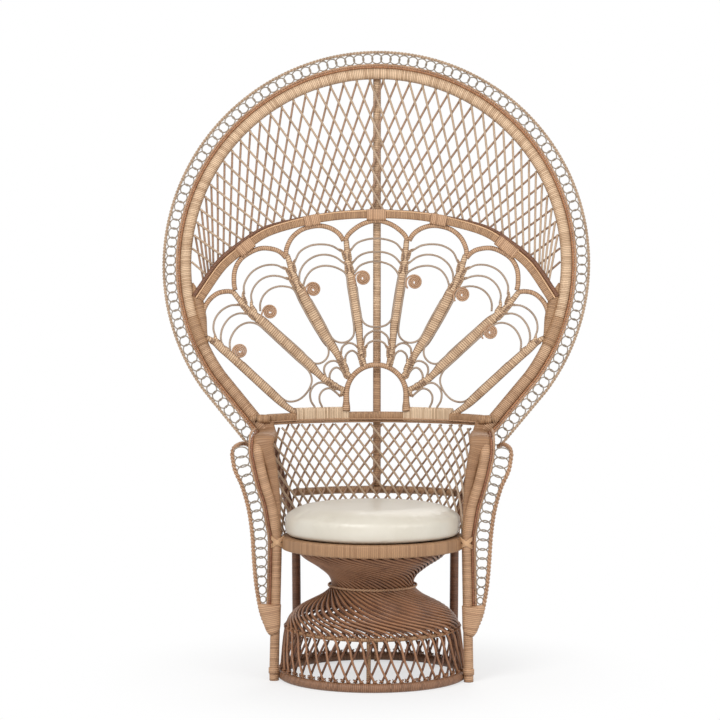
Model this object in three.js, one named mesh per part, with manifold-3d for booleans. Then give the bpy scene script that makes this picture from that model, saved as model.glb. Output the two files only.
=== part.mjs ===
import * as THREE from 'three';
import Module from 'manifold-3d';
import { mergeVertices } from 'three/addons/utils/BufferGeometryUtils.js';

// A woven rattan armchair with a round fan back on a twisted drum base.
// Millimetres. X runs across the chair, Y from front to back, Z up. The drum stands round X = Y = 0.

// Clearances and sections
const seat = 0.3;                     // gap between pieces that touch
const skin = 0.05;                    // spare depth over a seat where a faceted pole bulges
const poleSides = 8;
const rodSides = 6;
const caneSides = 4;
const strandSides = 3;

// Drum base
const basePole = 11;                  // radius of the wrapped base hoop's pole
const baseShare = 1;                  // the base hoop's radius over the seat ring's
const midPole = 4;
const midHeight = 118;
const waistPole = 2.7;
const waistRoom = 1.53;                // between the waist's ring and the strands that it holds
const strand = 2.75;                  // radius of the canes that are laced into lattices
const drumStrands = 44;
const drumLean = 11;                  // degrees that a strand leans between base hoop and mid hoop
const midTurn = 214;                  // degrees that a strand has turned by the mid hoop
const layerRoom = 1;                  // between the drum's two sets of strands
const studPole = 5;

// Seat
const seatRadius = 217;
const seatRimWidth = 26;
const seatRimHeight = 30;
const seatUnderside = 306;
const seatChamfer = 4;
const deckThickness = 8;
const seatSegments = 36;
const deckTop = 326;
const cushionShare = 0.9747;          // the cushion's radius over the seat ring's
const cushionThickness = 66;

// Posts, arms and legs
const post = 12.5;                    // radius of the front posts and arms
const rearLeg = 10.5;
const armFrontShares = [1.2442, -0.2765];  // X and Y of the arms' front bend over seatRadius
const armHeight = 571;
const tailOverArm = 2;                // height of the hoop's lower ends above the arms' middle
const rail = 9;                       // radius of the hoop behind the tub lattice
const railHeight = 422;

// Fan back
const fanPole = 13.5;                 // radius of the main hoop's pole
const fanShare = 2.14286;             // the fan's radius over the seat ring's
const tailAngle = 36.5;               // degrees below level where the hoop's round part ends
const tailSlope = 50;                 // degrees, the straight tails' slope
const lean = 9.3;                     // degrees that the fan leans back
const leanHeight = 600;
const leanShare = 0.41475;            // how far back the hoop stands at leanHeight, over seatRadius
const hollowShare = 0.27742;          // depth of the back's hollow at the crossbar, over the fan's radius
const barHeight = 607;                // height of the crossbar
const barDropShare = 0.8172;          // from the crossbar up to the fan's centre, over the fan's radius

// Border of the fan: a thin pole, a twisted cane, a row of loops and an outer cane
const trimPole = 2.7;
const trimCane = 3;
const outerCane = 3.5;
const borderWidth = 57.5;             // from the main hoop's centre to the fan's outer edge
const loopCane = 1.25;
const loopLift = 2.6;                 // how far a loop leaves its plane where it crosses the next one
const fanLoops = 70;
const armLoops = 10;
const loopSteps = 6;
const loopWidthShare = 0.6;           // how far a loop reaches along the row, as a share of its pitch
const loopSpread = 0.45;              // spare reach of a loop whose faceted cane clears its neighbours
const minimumGap = 0.4;

// Arch, crossbar and centre post
const archHeightShare = 0.04516;      // the arch's height over the fan's radius
const archDepth = 14;
const archCornerShare = 0.25;
const rearBar = 6;
const barSize = 20;
const blockExtra = 12;
const blockInset = 0.5;
const blockShares = [0.2553, 0.6526]; // where the crossbar's wrapped blocks begin and end
const barCane = 3.5;
const centrePole = 9.75;

// Flower of petals under the arch
const lobePoleShare = 0.0129;         // radius of the lobes' pole over the fan's radius
const trunkDepth = 10;
const petalCane = 2;
const spiralTurns = 2.25;
const spiralSteps = 8;
const spiralRadius = 17.5;
const heartShare = 0.1355;            // radius of the small arch at the flower's heart, over the fan's
const heartHeightShare = -0.6905;     // its centre below the fan's centre, as a share of the fan's radius
const loopFootShare = 0.86;
const loopDropShare = 0.08;
const caneInset = 0.8;                // from the trunk's centre line to the petal's cane, past their touching
const petalStandOffs = [2, 0.3, -0.4, -1, -0.5, 0.1, 2]; // spare room before the trunks, for each petal
const endStartShare = 0.4;
const downShare = 2.6;                // of the arcs' spacing, where the long loop begins and ends
const upShare = 3.4;
const spiralCoreShare = 3;            // a spiral's innermost radius over its cane's
const arcSpacing = 24;                // between the petal's nested arcs, along the trunk
const arcRiseShare = 1.3;
const arcStart = 28;                  // degrees of its ellipse at which an arc leaves the trunk

// Lattices
const latticePitch = 4.2;             // degrees of the hoop between two strands of a layer
const latticeFrom = -90.3;            // degrees of the hoop between which a layer's strands begin
const latticeTo = 84;
const layerGap = 6.5;                 // between the two layers' centres
const tubStrands = 28;
const tubShift = 0.23;                // share of the tub's run that a strand moves along on its way down
const shortestStrand = 40;

const rattan = new THREE.MeshStandardMaterial({ color: 0xc79767, roughness: 0.55, metalness: 0 });
const darkRattan = new THREE.MeshStandardMaterial({ color: 0x9a6a42, roughness: 0.6, metalness: 0 });
const paleCane = new THREE.MeshStandardMaterial({ color: 0xa08a72, roughness: 0.6, metalness: 0 });
const leatherette = new THREE.MeshStandardMaterial({ color: 0xe9e3d6, roughness: 0.4, metalness: 0 });

const chair = new THREE.Group();
const radians = THREE.MathUtils.degToRad;
const vector = (x, y, z) => new THREE.Vector3(x, y, z);
const place = (x, z) => new THREE.Vector2(x, z);

function add(name, geometry, material) {
  const mesh = new THREE.Mesh(geometry, material);
  mesh.name = name;
  chair.add(mesh);
  return mesh;
}

// Swept canes

// A run through given points, each of which gets one ring of the swept section.
class Run extends THREE.Curve {
  constructor(points) {
    super();
    this.points = points;
  }

  getPoint(t, target = new THREE.Vector3()) {
    const last = this.points.length - 1;
    const along = THREE.MathUtils.clamp(t, 0, 1) * last;
    const index = Math.min(Math.floor(along), last - 1);
    return target.lerpVectors(this.points[index], this.points[index + 1], along - index);
  }

  getPointAt(u, target) {
    return this.getPoint(u, target);
  }

  getTangentAt(u, target = new THREE.Vector3()) {
    const last = this.points.length - 1;
    const index = Math.round(u * last);
    const here = this.points[index];
    const before = here.clone().sub(this.points[Math.max(index - 1, 0)]).normalize();
    const after = this.points[Math.min(index + 1, last)].clone().sub(here).normalize();
    return target.addVectors(before, after).normalize();
  }
}

function polygon(radius, sides, turn = 0) {
  const points = [];
  for (let i = 0; i < sides; i += 1) {
    const angle = radians(turn) + (i / sides) * 2 * Math.PI;
    points.push(place(radius * Math.cos(angle), radius * Math.sin(angle)));
  }
  return points;
}

function rectangle(width, height, corner) {
  const x = width / 2;
  const y = height / 2;
  return [
    place(-x + corner, -y), place(x - corner, -y), place(x, -y + corner), place(x, y - corner),
    place(x - corner, y), place(-x + corner, y), place(-x, y - corner), place(-x, -y + corner),
  ];
}

function cane(points, radius, sides) {
  const shape = new THREE.Shape(polygon(radius, sides));
  const path = new Run(points);
  return new THREE.ExtrudeGeometry(shape, { steps: points.length - 1, extrudePath: path });
}

// A ring round the Z axis, whose profile is given as (radius, height) points.
function ring(profile, segments) {
  const outline = [...profile, profile[0]].reverse();
  return new THREE.LatheGeometry(outline, segments).rotateX(Math.PI / 2);
}

function hoopRing(radius, height, pole, sides, segments) {
  const turn = 180 / sides;
  const profile = polygon(pole, sides, turn).map((p) => place(radius + p.x, height - p.y));
  return ring(profile, segments);
}

// A solid whose outline changes along a line: rings of points, closed by a flat cap at either end.
function loft(rings) {
  const count = rings[0].length;
  const positions = rings.flat().flatMap((p) => [p.x, p.y, p.z]);
  const faces = [];
  for (let r = 0; r < rings.length - 1; r += 1) {
    for (let i = 0; i < count; i += 1) {
      const a = r * count + i;
      const b = r * count + ((i + 1) % count);
      faces.push(a, b + count, b, a, a + count, b + count);
    }
  }
  const end = (rings.length - 1) * count;
  for (let i = 1; i < count - 1; i += 1) {
    faces.push(0, i, i + 1);
    faces.push(end, end + i + 1, end + i);
  }
  const geometry = new THREE.BufferGeometry();
  geometry.setAttribute('position', new THREE.Float32BufferAttribute(positions, 3));
  geometry.setIndex(faces);
  return geometry;
}

// Sweeps a section along points and keeps one axis of it along `depthAxis`.
function band(points, sectionAt, depthAxis) {
  const run = new Run(points);
  const last = points.length - 1;
  const rings = points.map((point, index) => {
    const tangent = run.getTangentAt(index / last);
    const side = tangent.clone().cross(depthAxis).normalize();
    const depth = side.clone().cross(tangent).normalize();
    return sectionAt(index).map((p) => point.clone().addScaledVector(side, p.x).addScaledVector(depth, p.y));
  });
  return loft(rings);
}

const wasm = await Module();
wasm.setup();

function toManifold(geometry) {
  const bare = geometry.clone();
  bare.deleteAttribute('normal');
  bare.deleteAttribute('uv');
  const merged = mergeVertices(bare);
  return new wasm.Manifold(new wasm.Mesh({
    numProp: 3,
    vertProperties: new Float32Array(merged.attributes.position.array),
    triVerts: new Uint32Array(merged.index.array),
  }));
}

function fuse(first, others) {
  let solid = toManifold(first);
  for (const other of others) {
    solid = solid.add(toManifold(other));
  }
  const mesh = solid.getMesh();
  const geometry = new THREE.BufferGeometry();
  geometry.setAttribute('position', new THREE.Float32BufferAttribute(mesh.vertProperties, 3));
  geometry.setIndex(Array.from(mesh.triVerts));
  return geometry;
}

function spread(count, from, to) {
  return Array.from({ length: count + 1 }, (_, i) => from + ((to - from) * i) / count);
}

function onCircle(radius, degrees, height) {
  return vector(radius * Math.cos(radians(degrees)), radius * Math.sin(radians(degrees)), height);
}

// Drum base

const baseRadius = baseShare * seatRadius;
const hoopTop = basePole * (1 + Math.cos(Math.PI / poleSides));
const hoopMiddle = basePole * Math.cos(Math.PI / poleSides);
const baseTop = 2 * hoopMiddle;
const strandFoot = baseTop + seat + strand;
const seatTop = seatUnderside + seatRimHeight;
const seatInner = seatRadius - seatRimWidth;
const strandTop = deckTop - deckThickness - seat - strand - seat;
const strandTopRadius = (seatInner - seat) * Math.cos(Math.PI / seatSegments) - strand - seat;
const neckHeightShare = 0.7125;       // where the strands come nearest together
const neckRadiusShare = 0.4425;
const midRadiusShare = 0.9456;        // where the strands pass the mid hoop
const midStrandRadius = midRadiusShare * baseRadius;
const midRadius = midStrandRadius - strand - seat - midPole;
const waistHeight = neckHeightShare * seatUnderside;
const waistRadius = neckRadiusShare * baseRadius + strand + waistPole + waistRoom;

// Each station of a drum strand: share of the drum's height, share of the base radius, degrees turned.
const drumStationShares = [
  [0.945, 0.765, 25],
  [0.868, 0.6, 60],
  [0.784, 0.466, 95],
  [neckHeightShare, neckRadiusShare, 117],
  [0.64, 0.53, 144],
  [0.52, 0.83, 182],
];

function drumStrand(start) {
  const stations = [
    [strandTop, strandTopRadius, 0],
    ...drumStationShares.map(([height, radius, turn]) => [height * seatUnderside, radius * baseRadius, turn]),
    [midHeight + midPole, midStrandRadius, midTurn],
    [strandFoot, baseRadius, midTurn + drumLean],
  ];
  return stations.map(([height, radius, turn]) => onCircle(radius, start + turn, height));
}

function crossStrand(start) {
  const inner = baseRadius - 2 * strand - layerRoom;
  const top = midHeight - midPole - seat - strand;
  return [onCircle(inner, start, strandFoot), onCircle(midRadius, start + drumLean, top)];
}

// Joins strands into one cane that is laced down and up in turn.
function laced(strands) {
  return strands.flatMap((points, index) => (index % 2 ? [...points].reverse() : points));
}

function drum() {
  const starts = spread(drumStrands - 1, 0, 360 - 360 / drumStrands);
  add('base_hoop', hoopRing(baseRadius, hoopMiddle, basePole, poleSides, 32), rattan);
  add('drum_mid_hoop', hoopRing(midRadius, midHeight, midPole, caneSides, 30), darkRattan);
  add('drum_waist_ring', hoopRing(waistRadius, waistHeight, waistPole, caneSides, 28), darkRattan);
  add('drum_strands_main', cane(laced(starts.map(drumStrand)), strand, strandSides), rattan);
  add('drum_strands_cross', cane(laced(starts.map(crossStrand)), strand, strandSides), rattan);
  for (const [name, angle] of [['drum_stud_front', -90], ['drum_stud_rear', 90]]) {
    const foot = baseRadius - basePole - seat - studPole;
    const head = midRadius - midPole - seat - studPole;
    const tip = onCircle(head, angle, midHeight + studPole);
    const points = [onCircle(foot, angle, 0), onCircle(foot, angle, baseTop), tip];
    add(name, cane(points, studPole, rodSides), darkRattan);
  }
}

// Seat

function seatPieces() {
  const chamfer = seatChamfer;
  const rim = [
    place(seatInner, seatUnderside), place(seatInner, seatTop), place(seatRadius - chamfer, seatTop),
    place(seatRadius, seatTop - chamfer), place(seatRadius, seatUnderside + chamfer),
    place(seatRadius - chamfer, seatUnderside),
  ];
  add('seat_ring', ring(rim, seatSegments), rattan);
  const deckEdge = seatInner - seat;
  const deck = [place(0, deckTop - deckThickness), place(0, deckTop), place(deckEdge, deckTop),
    place(deckEdge, deckTop - deckThickness)];
  add('seat_deck', ring(deck, seatSegments), paleCane);

  const cushionRadius = cushionShare * seatRadius;
  // Half outline of the cushion as shares of its radius and thickness, from the bottom's middle to the top's.
  const cushionShares = [
    [0, 0], [0.93, 0], [0.978, 0.1], [1, 0.36], [0.99, 0.6], [0.955, 0.76], [0.88, 0.87], [0.68, 0.95],
    [0.36, 0.99], [0, 1],
  ];
  const outline = cushionShares.map(([radius, height]) => (
    place(radius * cushionRadius, seatTop + seat + height * cushionThickness)));
  add('cushion', new THREE.LatheGeometry(outline, seatSegments).rotateX(Math.PI / 2), leatherette);
}

// Fan hoop: a circle as seen from the front, with straight tails, leaning back

const fanRadius = fanShare * seatRadius;
const fanCentre = barHeight + barDropShare * fanRadius;
const leanDepth = leanShare * seatRadius;
const hollow = hollowShare * fanRadius;
const topHeight = fanCentre + fanRadius;
const archHeight = archHeightShare * fanRadius;
const lobePole = lobePoleShare * fanRadius;
const tailEnd = armHeight + tailOverArm;
const tailTopX = fanRadius * Math.cos(radians(tailAngle));
const tailTopZ = fanCentre - fanRadius * Math.sin(radians(tailAngle));
const tailEndX = tailTopX - (tailTopZ - tailEnd) / Math.tan(radians(tailSlope));
const hoopSweep = 180 + 2 * tailAngle;

function hoopDepth(z) {
  return leanDepth + (z - leanHeight) * Math.tan(radians(lean));
}

function hoopHalfWidth(z) {
  if (z < tailTopZ) {
    return tailTopX - (tailTopZ - z) / Math.tan(radians(tailSlope));
  }
  return Math.sqrt(Math.max(fanRadius ** 2 - (z - fanCentre) ** 2, 0));
}

// The hollow surface that the back's weave lies on. `back` is an offset to the rear.
function shellPoint(x, z, back = 0) {
  const width = hoopHalfWidth(z);
  const share = width > 0 ? Math.min(Math.abs(x) / width, 1) : 1;
  const depth = (hollow * (topHeight - z)) / (topHeight - barHeight);
  return vector(x, hoopDepth(z) + depth * (1 - share ** 2) + back, z);
}

// Places beside the hoop, `out` from its centre line, at `degrees` from the top (negative is left).
function hoopPlace(degrees, out) {
  const reach = fanRadius + out;
  return place(reach * Math.sin(radians(degrees)), fanCentre + reach * Math.cos(radians(degrees)));
}

function tailPlace(share, out, side) {
  const along = place(tailEndX - tailTopX, tailEnd - tailTopZ);
  const normal = place(-along.y, along.x).normalize();
  const x = tailTopX + along.x * share + normal.x * out;
  const z = tailTopZ + along.y * share + normal.y * out;
  return place(side * x, z);
}

// The whole border line from the left tail's end over the top to the right tail's end.
function hoopLine(out, steps) {
  const half = hoopSweep / 2;
  const arc = spread(steps, -half, half).map((degrees) => hoopPlace(degrees, out));
  const tails = spread(2, 1, 0).slice(0, -1);
  return [
    ...tails.map((share) => tailPlace(share, out, -1)), ...arc,
    ...tails.reverse().map((share) => tailPlace(share, out, 1)),
  ];
}

function standing(places, back = 0) {
  return places.map((p) => vector(p.x, hoopDepth(p.y) + back, p.y));
}

const trimOffset = fanPole + seat + trimPole;
const innerOffset = trimOffset + trimPole + seat + trimCane;
const outerOffset = borderWidth - outerCane;
const loopMiddle = (innerOffset + trimCane + outerOffset - outerCane) / 2 - loopSpread;
const loopReach = (outerOffset - outerCane - innerOffset - trimCane) / 2 - seat - loopCane + loopSpread;

function leastGap(points, radius, near) {
  let least = Infinity;
  const segments = points.slice(1).map((point, i) => new THREE.Line3(points[i], point));
  for (let i = 0; i < segments.length; i += 1) {
    for (let j = i + 2; j < Math.min(segments.length, i + near); j += 1) {
      const apart = segments[i].distanceSqToLine3(segments[j]);
      least = Math.min(least, Math.sqrt(apart) - 2 * radius);
    }
  }
  return least;
}

// Loops like a coil pressed flat, along a line in the fan's plane.
function loopRun(line, count, reachAt) {
  const curve = new THREE.SplineCurve(line);
  const pitch = curve.getLength() / count;
  const points = [];
  for (let i = 0; i <= count * loopSteps; i += 1) {
    const turn = (i / loopSteps) * 2 * Math.PI;
    const u = i / (count * loopSteps);
    const middle = curve.getPointAt(u);
    const along = curve.getTangentAt(u);
    const outward = place(-along.y, along.x);
    const reach = reachAt(u);
    const forward = loopWidthShare * pitch * Math.cos(turn) * Math.min(reach / loopReach, 1);
    middle.addScaledVector(along, forward);
    middle.addScaledVector(outward, reach * Math.sin(turn));
    points.push({ flat: middle, lift: loopLift * Math.cos(turn) });
  }
  return points;
}

function reportGap(name, points, radius) {
  const gap = leastGap(points, radius, 2 * loopSteps + 2);
  console.log(`${name}: least gap to itself ${gap.toFixed(2)} mm`);
  if (gap < minimumGap) {
    console.log(`${name}: its turns come closer than ${minimumGap} mm`);
  }
}

function fan() {
  const hoopSteps = 36;
  add('fan_hoop', cane(standing(hoopLine(0, hoopSteps)), fanPole, poleSides), rattan);
  add('fan_trim_pole', cane(standing(hoopLine(trimOffset, hoopSteps)), trimPole, caneSides), darkRattan);
  add('fan_trim_cane', cane(standing(hoopLine(innerOffset, hoopSteps)), trimCane, caneSides), rattan);
  add('fan_outer_cane', cane(standing(hoopLine(outerOffset, hoopSteps)), outerCane, caneSides), rattan);
  const line = hoopLine(loopMiddle, hoopSteps);
  const loops = loopRun(line, fanLoops, () => loopReach).map(({ flat, lift }) => (
    vector(flat.x, hoopDepth(flat.y) + lift, flat.y)));
  reportGap('fan_loops', loops, loopCane);
  add('fan_loops', cane(loops, loopCane, strandSides), paleCane);
}

// Front posts and arms

const armFrontX = armFrontShares[0] * seatRadius;
const armFrontY = armFrontShares[1] * seatRadius;
const postFlat = post * Math.cos(Math.PI / poleSides);
const baseFlat = basePole * Math.cos(Math.PI / poleSides);
const postSeatReach = seatRadius + post - seat;
const postFootReach = baseRadius + baseFlat + postFlat - seat;
const postSeatShare = 0.9808;         // how far to the side a post stands, over its distance from the middle
const postFootShare = 0.9589;
const postSeatX = postSeatShare * postSeatReach;
const postSeatY = -Math.sqrt(postSeatReach ** 2 - postSeatX ** 2);
const postFootX = postFootShare * postFootReach;
const postFootY = -Math.sqrt(postFootReach ** 2 - postFootX ** 2);

// Stations of the left arm from the seat up and back: shares of the arm's front X, front Y and rise.
const armStationShares = [
  [0.852, 0.87, 0.1253],
  [0.885, 0.93, 0.3367],
  [0.937, 1, 0.5383],
  [0.978, 1.03, 0.7279],
  [1, 0.98, 0.8809],
  [1, 0.7, 0.9708],
  [0.985, 0.2, 1],
  [0.963, -0.6, 1.0049],
];

function postLine(side) {
  const points = [
    vector(postFootX, postFootY, 0),
    vector(postFootX, postFootY, hoopTop),
    vector(postSeatX, postSeatY, seatUnderside),
    vector(postSeatX, postSeatY, seatTop),
    ...armStationShares.map(([x, y, rise]) => (
      vector(x * armFrontX, y * armFrontY, seatTop + rise * (armHeight - seatTop)))),
    vector(tailEndX, hoopDepth(tailEnd) - fanPole - seat - skin, tailEnd),
  ];
  return points.map((p) => p.setX(side * p.x));
}

const armTrimShare = 0.36;            // share of the post's run at which its trim pole begins
const armTurnShares = [1.17, 0.3, 0.965];  // where the outer cane turns back, as shares of the arm's front
const armTurnRoom = 2.3;              // between the arm's outer cane and the fan's

// Border of an arm: a trim pole along the post, an outer cane and loops between them, in one plane.
const armRimShares = [
  [0.905, 0.21],
  [0.955, 0.267],
  [0.987, 0.336],
  [1.01, 0.41],
  [1.026, 0.5],
  [1.04, 0.6],
  [1.072, 0.706],
  [1.132, 0.804],
  [1.194, 0.87],
  [1.215, 0.935],
];

function armBorder(side, name) {
  const line = postLine(1).slice(2, 9);
  const curve = new THREE.CatmullRomCurve3([vector(postFootX, postFootY, hoopTop), ...line]);
  const trim = [];
  for (const u of spread(16, armTrimShare, 1)) {
    const middle = curve.getPointAt(u);
    const along = curve.getTangentAt(u);
    const out = vector(along.z, 0, -along.x).normalize();
    trim.push(middle.addScaledVector(out, post + seat + trimPole + skin));
  }
  const rimPlaces = armRimShares.map(([x, z]) => place(x * armFrontX, z * armHeight));
  const rim = new THREE.SplineCurve(rimPlaces).getSpacedPoints(16).map((p) => vector(p.x, armFrontY, p.y));
  const back = tailPlace(1, outerOffset, 1);
  const [turnX, turnY, turnZ] = armTurnShares;
  const joined = [...rim, vector(turnX * armFrontX, turnY * armFrontY, turnZ * armHeight),
    vector(back.x, hoopDepth(tailEnd) - 2 * outerCane - seat - armTurnRoom, back.y)];
  const mirror = (points) => points.map((p) => p.clone().setX(side * p.x));
  add(`arm_trim_pole_${name}`, cane(mirror(trim), trimPole, caneSides), darkRattan);
  add(`arm_outer_cane_${name}`, cane(mirror(joined), outerCane, caneSides), rattan);

  // The loops lie between the two, narrower towards the foot.
  const inner = trim.map((p) => place(p.x, p.z));
  const outer = new THREE.SplineCurve(rimPlaces).getSpacedPoints(inner.length - 1);
  const clear = trimPole + outerCane + 2 * (seat + loopCane);
  const pairs = inner.map((p, i) => {
    const nearest = outer.reduce((best, q) => (q.distanceTo(p) < best.distanceTo(p) ? q : best), outer[i]);
    return [p, nearest];
  }).filter(([p, q]) => p.distanceTo(q) > clear + 2 * loopCane);
  const middles = pairs.map(([p, q]) => p.clone().lerp(q, 0.5));
  const reaches = pairs.map(([p, q]) => (p.distanceTo(q) - clear) / 2);
  const reachAt = (u) => {
    const along = u * (reaches.length - 1);
    const index = Math.min(Math.floor(along), reaches.length - 2);
    return THREE.MathUtils.lerp(reaches[index], reaches[index + 1], along - index);
  };
  const loops = loopRun(middles, armLoops, reachAt).map(({ flat, lift }) => (
    vector(flat.x, armFrontY + lift, flat.y)));
  reportGap(`arm_loops_${name}`, loops, loopCane);
  add(`arm_loops_${name}`, cane(mirror(loops), loopCane, strandSides), paleCane);
}

function postsAndArms() {
  for (const [side, name] of [[-1, 'left'], [1, 'right']]) {
    add(`front_post_${name}`, cane(postLine(side), post, poleSides), rattan);
    armBorder(side, name);
  }
}

// Tub: the low wall of lattice round the seat

const tubRoom = 2.8;                  // spare room between the tub's two layers
const tubOverhang = 2;                // how far outside the seat ring the tub's strands land
const tubDrop = 1.5;                  // how far below the ring's top they land
const barEndRoom = 12;                // between the crossbar's arc and the hoop's pole
const barShare = 0.8;                 // share of the crossbar that the tub's rim follows
const rimRoom = 2.2;
const tubLayer = strand * 2 + tubRoom;
const tubFootRadius = seatRadius + tubOverhang;
const tubFootHeight = seatTop - tubDrop;
const barHalfWidth = hoopHalfWidth(barHeight) - fanPole - barEndRoom;
const barRadius = (barHalfWidth ** 2 + hollow ** 2) / (2 * hollow);
const barCentreY = hoopDepth(barHeight) + hollow - barRadius;
const barHalfAngle = THREE.MathUtils.radToDeg(Math.asin(barHalfWidth / barRadius));
const tubUnderBar = barHeight - barSize / 2 - seat - 2 * barCane - strand + 2 * seat;
const tubUnderArm = armHeight - post - seat - strand - rimRoom;
const tubFrontShare = 0.137;          // how far before the middle the tub's wall begins

function barPoint(degrees, out, height) {
  const reach = barRadius + out;
  return vector(reach * Math.sin(radians(degrees)), barCentreY + reach * Math.cos(radians(degrees)), height);
}

const tubRim = (() => {
  const armShares = [[0.985, 0.5, 0.992], [0.965, -0.33, 1], [0.935, -1.1, 1.006], [0.893, -1.65, 1.03]];
  const left = armShares.map(([x, y, z]) => vector(-x * armFrontX, y * armFrontY, z * tubUnderArm));
  const right = [...left].reverse().map((p) => vector(-p.x, p.y, p.z));
  const end = barShare * barHalfAngle;
  const bar = spread(8, -end, end).map((a) => barPoint(a, -tubLayer, tubUnderBar));
  return new THREE.CatmullRomCurve3([...left, ...bar, ...right], false, 'centripetal');
})();
const tubFrontAngle = THREE.MathUtils.radToDeg(Math.asin(tubFrontShare));

// The tub's wall: `u` runs from the left arm's front round the back to the right one, `v` up from the seat.
function tubPoint(u, v, out = 0) {
  const top = tubRim.getPointAt(THREE.MathUtils.clamp(u, 0, 1));
  const bottom = onCircle(tubFootRadius, 180 + tubFrontAngle - u * (180 + 2 * tubFrontAngle), tubFootHeight);
  const point = bottom.lerp(top, v);
  const outward = vector(point.x, point.y, 0).normalize();
  return point.addScaledVector(outward, out);
}

function tubLattice() {
  const strands = [];
  const pitch = 1 / tubStrands;
  for (let start = pitch / 2 - Math.floor(tubShift / pitch) * pitch; start < 1; start += pitch) {
    const high = Math.min(1, 1 + start / tubShift);
    const low = Math.max(0, 1 - (1 - start) / tubShift);
    const points = spread(Math.max(1, Math.round(3 * (high - low))), high, low)
      .map((v) => [start + tubShift * (1 - v), v]);
    const [from, to] = [points[0], points[points.length - 1]].map(([u, v]) => tubPoint(u, v));
    if (from.distanceTo(to) > shortestStrand) {
      strands.push(points);
    }
  }
  const run = laced(strands);
  add('tub_lattice_inner', cane(run.map(([u, v]) => tubPoint(u, v)), strand, strandSides), rattan);
  const outer = run.map(([u, v]) => tubPoint(1 - u, v, tubLayer));
  add('tub_lattice_outer', cane(outer, strand, strandSides), darkRattan);
}

const strandFlat = 0.5;               // a faceted strand is this much thinner to the back
const backOfTub = tubLayer + strand + seat - strandFlat;
const legShare = 0.225;               // share of the tub's run at which a rear leg stands
const railInsetShare = 0.038;

function rearFrame() {
  const out = backOfTub + rearLeg;
  const ground = baseRadius + baseFlat + rearLeg * Math.cos(Math.PI / poleSides) + seat;
  for (const [side, name] of [[-1, 'left'], [1, 'right']]) {
    const u = side < 0 ? legShare : 1 - legShare;
    const low = tubPoint(u, 0, out);
    const level = Math.hypot(low.x, low.y);
    const foot = low.clone().multiplyScalar(ground / level).setZ(0);
    const behind = hoopDepth(barHeight) + fanPole + rearLeg + seat;
    const lapped = vector(side * (tailEndX + rearLeg), behind, barHeight);
    const points = [foot, foot.clone().setZ(hoopTop), low.clone().setZ(seatTop), lapped];
    add(`rear_leg_${name}`, cane(points, rearLeg, poleSides), darkRattan);
  }
  const level = (railHeight - tubFootHeight) / (tubUnderBar - tubFootHeight);
  const ends = legShare + railInsetShare;
  const points = spread(20, ends, 1 - ends).map((u) => tubPoint(u, level, backOfTub + rail).setZ(railHeight));
  add('tub_rear_rail', cane(points, rail, rodSides), darkRattan);
}

// Crossbar, centre post and arch

const barForward = 3.8;               // the bar stands this far before its arc
const barReach = barHalfAngle - 0.66;
const barCornerShare = 0.2;
const postBack = 19.5;                // the centre post stands this far behind the fan
const postTopShare = 0.7;

function crossbar() {
  const square = rectangle(barSize, barSize, barSize * barCornerShare);
  const up = vector(0, 0, 1);
  const sweep = (from, to, steps, z) => spread(steps, from, to).map((a) => barPoint(a, -barForward, z));
  const bar = band(sweep(-barReach, barReach, 16, barHeight), () => square, up);
  const block = rectangle(barSize - 2 * blockInset, barSize + blockExtra, barSize * barCornerShare);
  const blocks = [-1, 1].map((side) => {
    const [from, to] = blockShares.map((share) => side * share * barHalfAngle).sort((a, b) => a - b);
    return band(sweep(from, to, 5, barHeight + blockExtra / 2), () => block, up);
  });
  add('crossbar', fuse(bar, blocks), rattan);
  const under = barHeight - barSize / 2 - seat - barCane;
  add('crossbar_cane', cane(sweep(-barReach, barReach, 16, under), barCane, caneSides), darkRattan);
}

function centrePost() {
  const top = vector(0, hoopDepth(topHeight) + postBack, topHeight - fanPole * postTopShare);
  const bottom = vector(0, hoopDepth(barHeight) + hollow + postBack, railHeight + rail + seat);
  const slope = (hoopDepth(topHeight) - hoopDepth(barHeight) - hollow) / (topHeight - barHeight);
  bottom.y += slope * (bottom.z - barHeight);
  add('centre_post', cane([bottom, top], centrePole, poleSides), darkRattan);
}

// Half of the arch from its middle, as shares of the fan's radius beside and above the fan's centre.
const archShares = [
  [0, 0.254], [0.238, 0.241], [0.429, 0.203], [0.593, 0.148], [0.717, 0.058], [0.804, -0.019],
  [0.897, -0.155],
];

function fanPlaces(shares) {
  return shares.map(([x, z]) => place(x * fanRadius, fanCentre + z * fanRadius));
}

const archCurve = (() => {
  const half = fanPlaces(archShares);
  const mirrored = half.slice(1).reverse().map((p) => place(-p.x, p.y));
  return new THREE.SplineCurve([...mirrored, ...half]);
})();

const weaveSag = 1.5;                 // how far straight runs may leave the hollow surface
const rearSag = 0.2;                  // the same behind the weave
const rearBarEndShare = 0.02;
const rearBarMidShare = 0.015;
const latticeFront = layerGap / 2 + strand + seat + weaveSag;

function arch() {
  const section = rectangle(archHeight, archDepth, archDepth * archCornerShare);
  const back = -(latticeFront + archDepth / 2);
  const axis = vector(0, 1, 0);
  const line = archCurve.getSpacedPoints(28).map((p) => shellPoint(p.x, p.y, back));
  add('arch', band(line, () => section, axis), rattan);
  const behind = latticeFront - weaveSag + rearSag + rearBar;
  const left = spread(12, rearBarEndShare, 1 / 2 - rearBarMidShare);
  const right = left.map((u) => 1 - u).reverse();
  for (const [name, shares] of [['left', left], ['right', right]]) {
    const points = shares.map((u) => archCurve.getPointAt(u)).map((p) => shellPoint(p.x, p.y, behind));
    add(`arch_rear_bar_${name}`, cane(points, rearBar, rodSides), darkRattan);
  }
}

// Where the strands that start at an angle of the hoop land on the arch: angle, share of the half arch.
const landingShares = [
  [-94.5, -0.95], [-70.3, -0.6], [-49.2, -0.33], [-23.2, 0], [24.3, 0.486], [42.7, 0.675], [64.3, 0.88],
  [88, 0.98],
];

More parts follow.
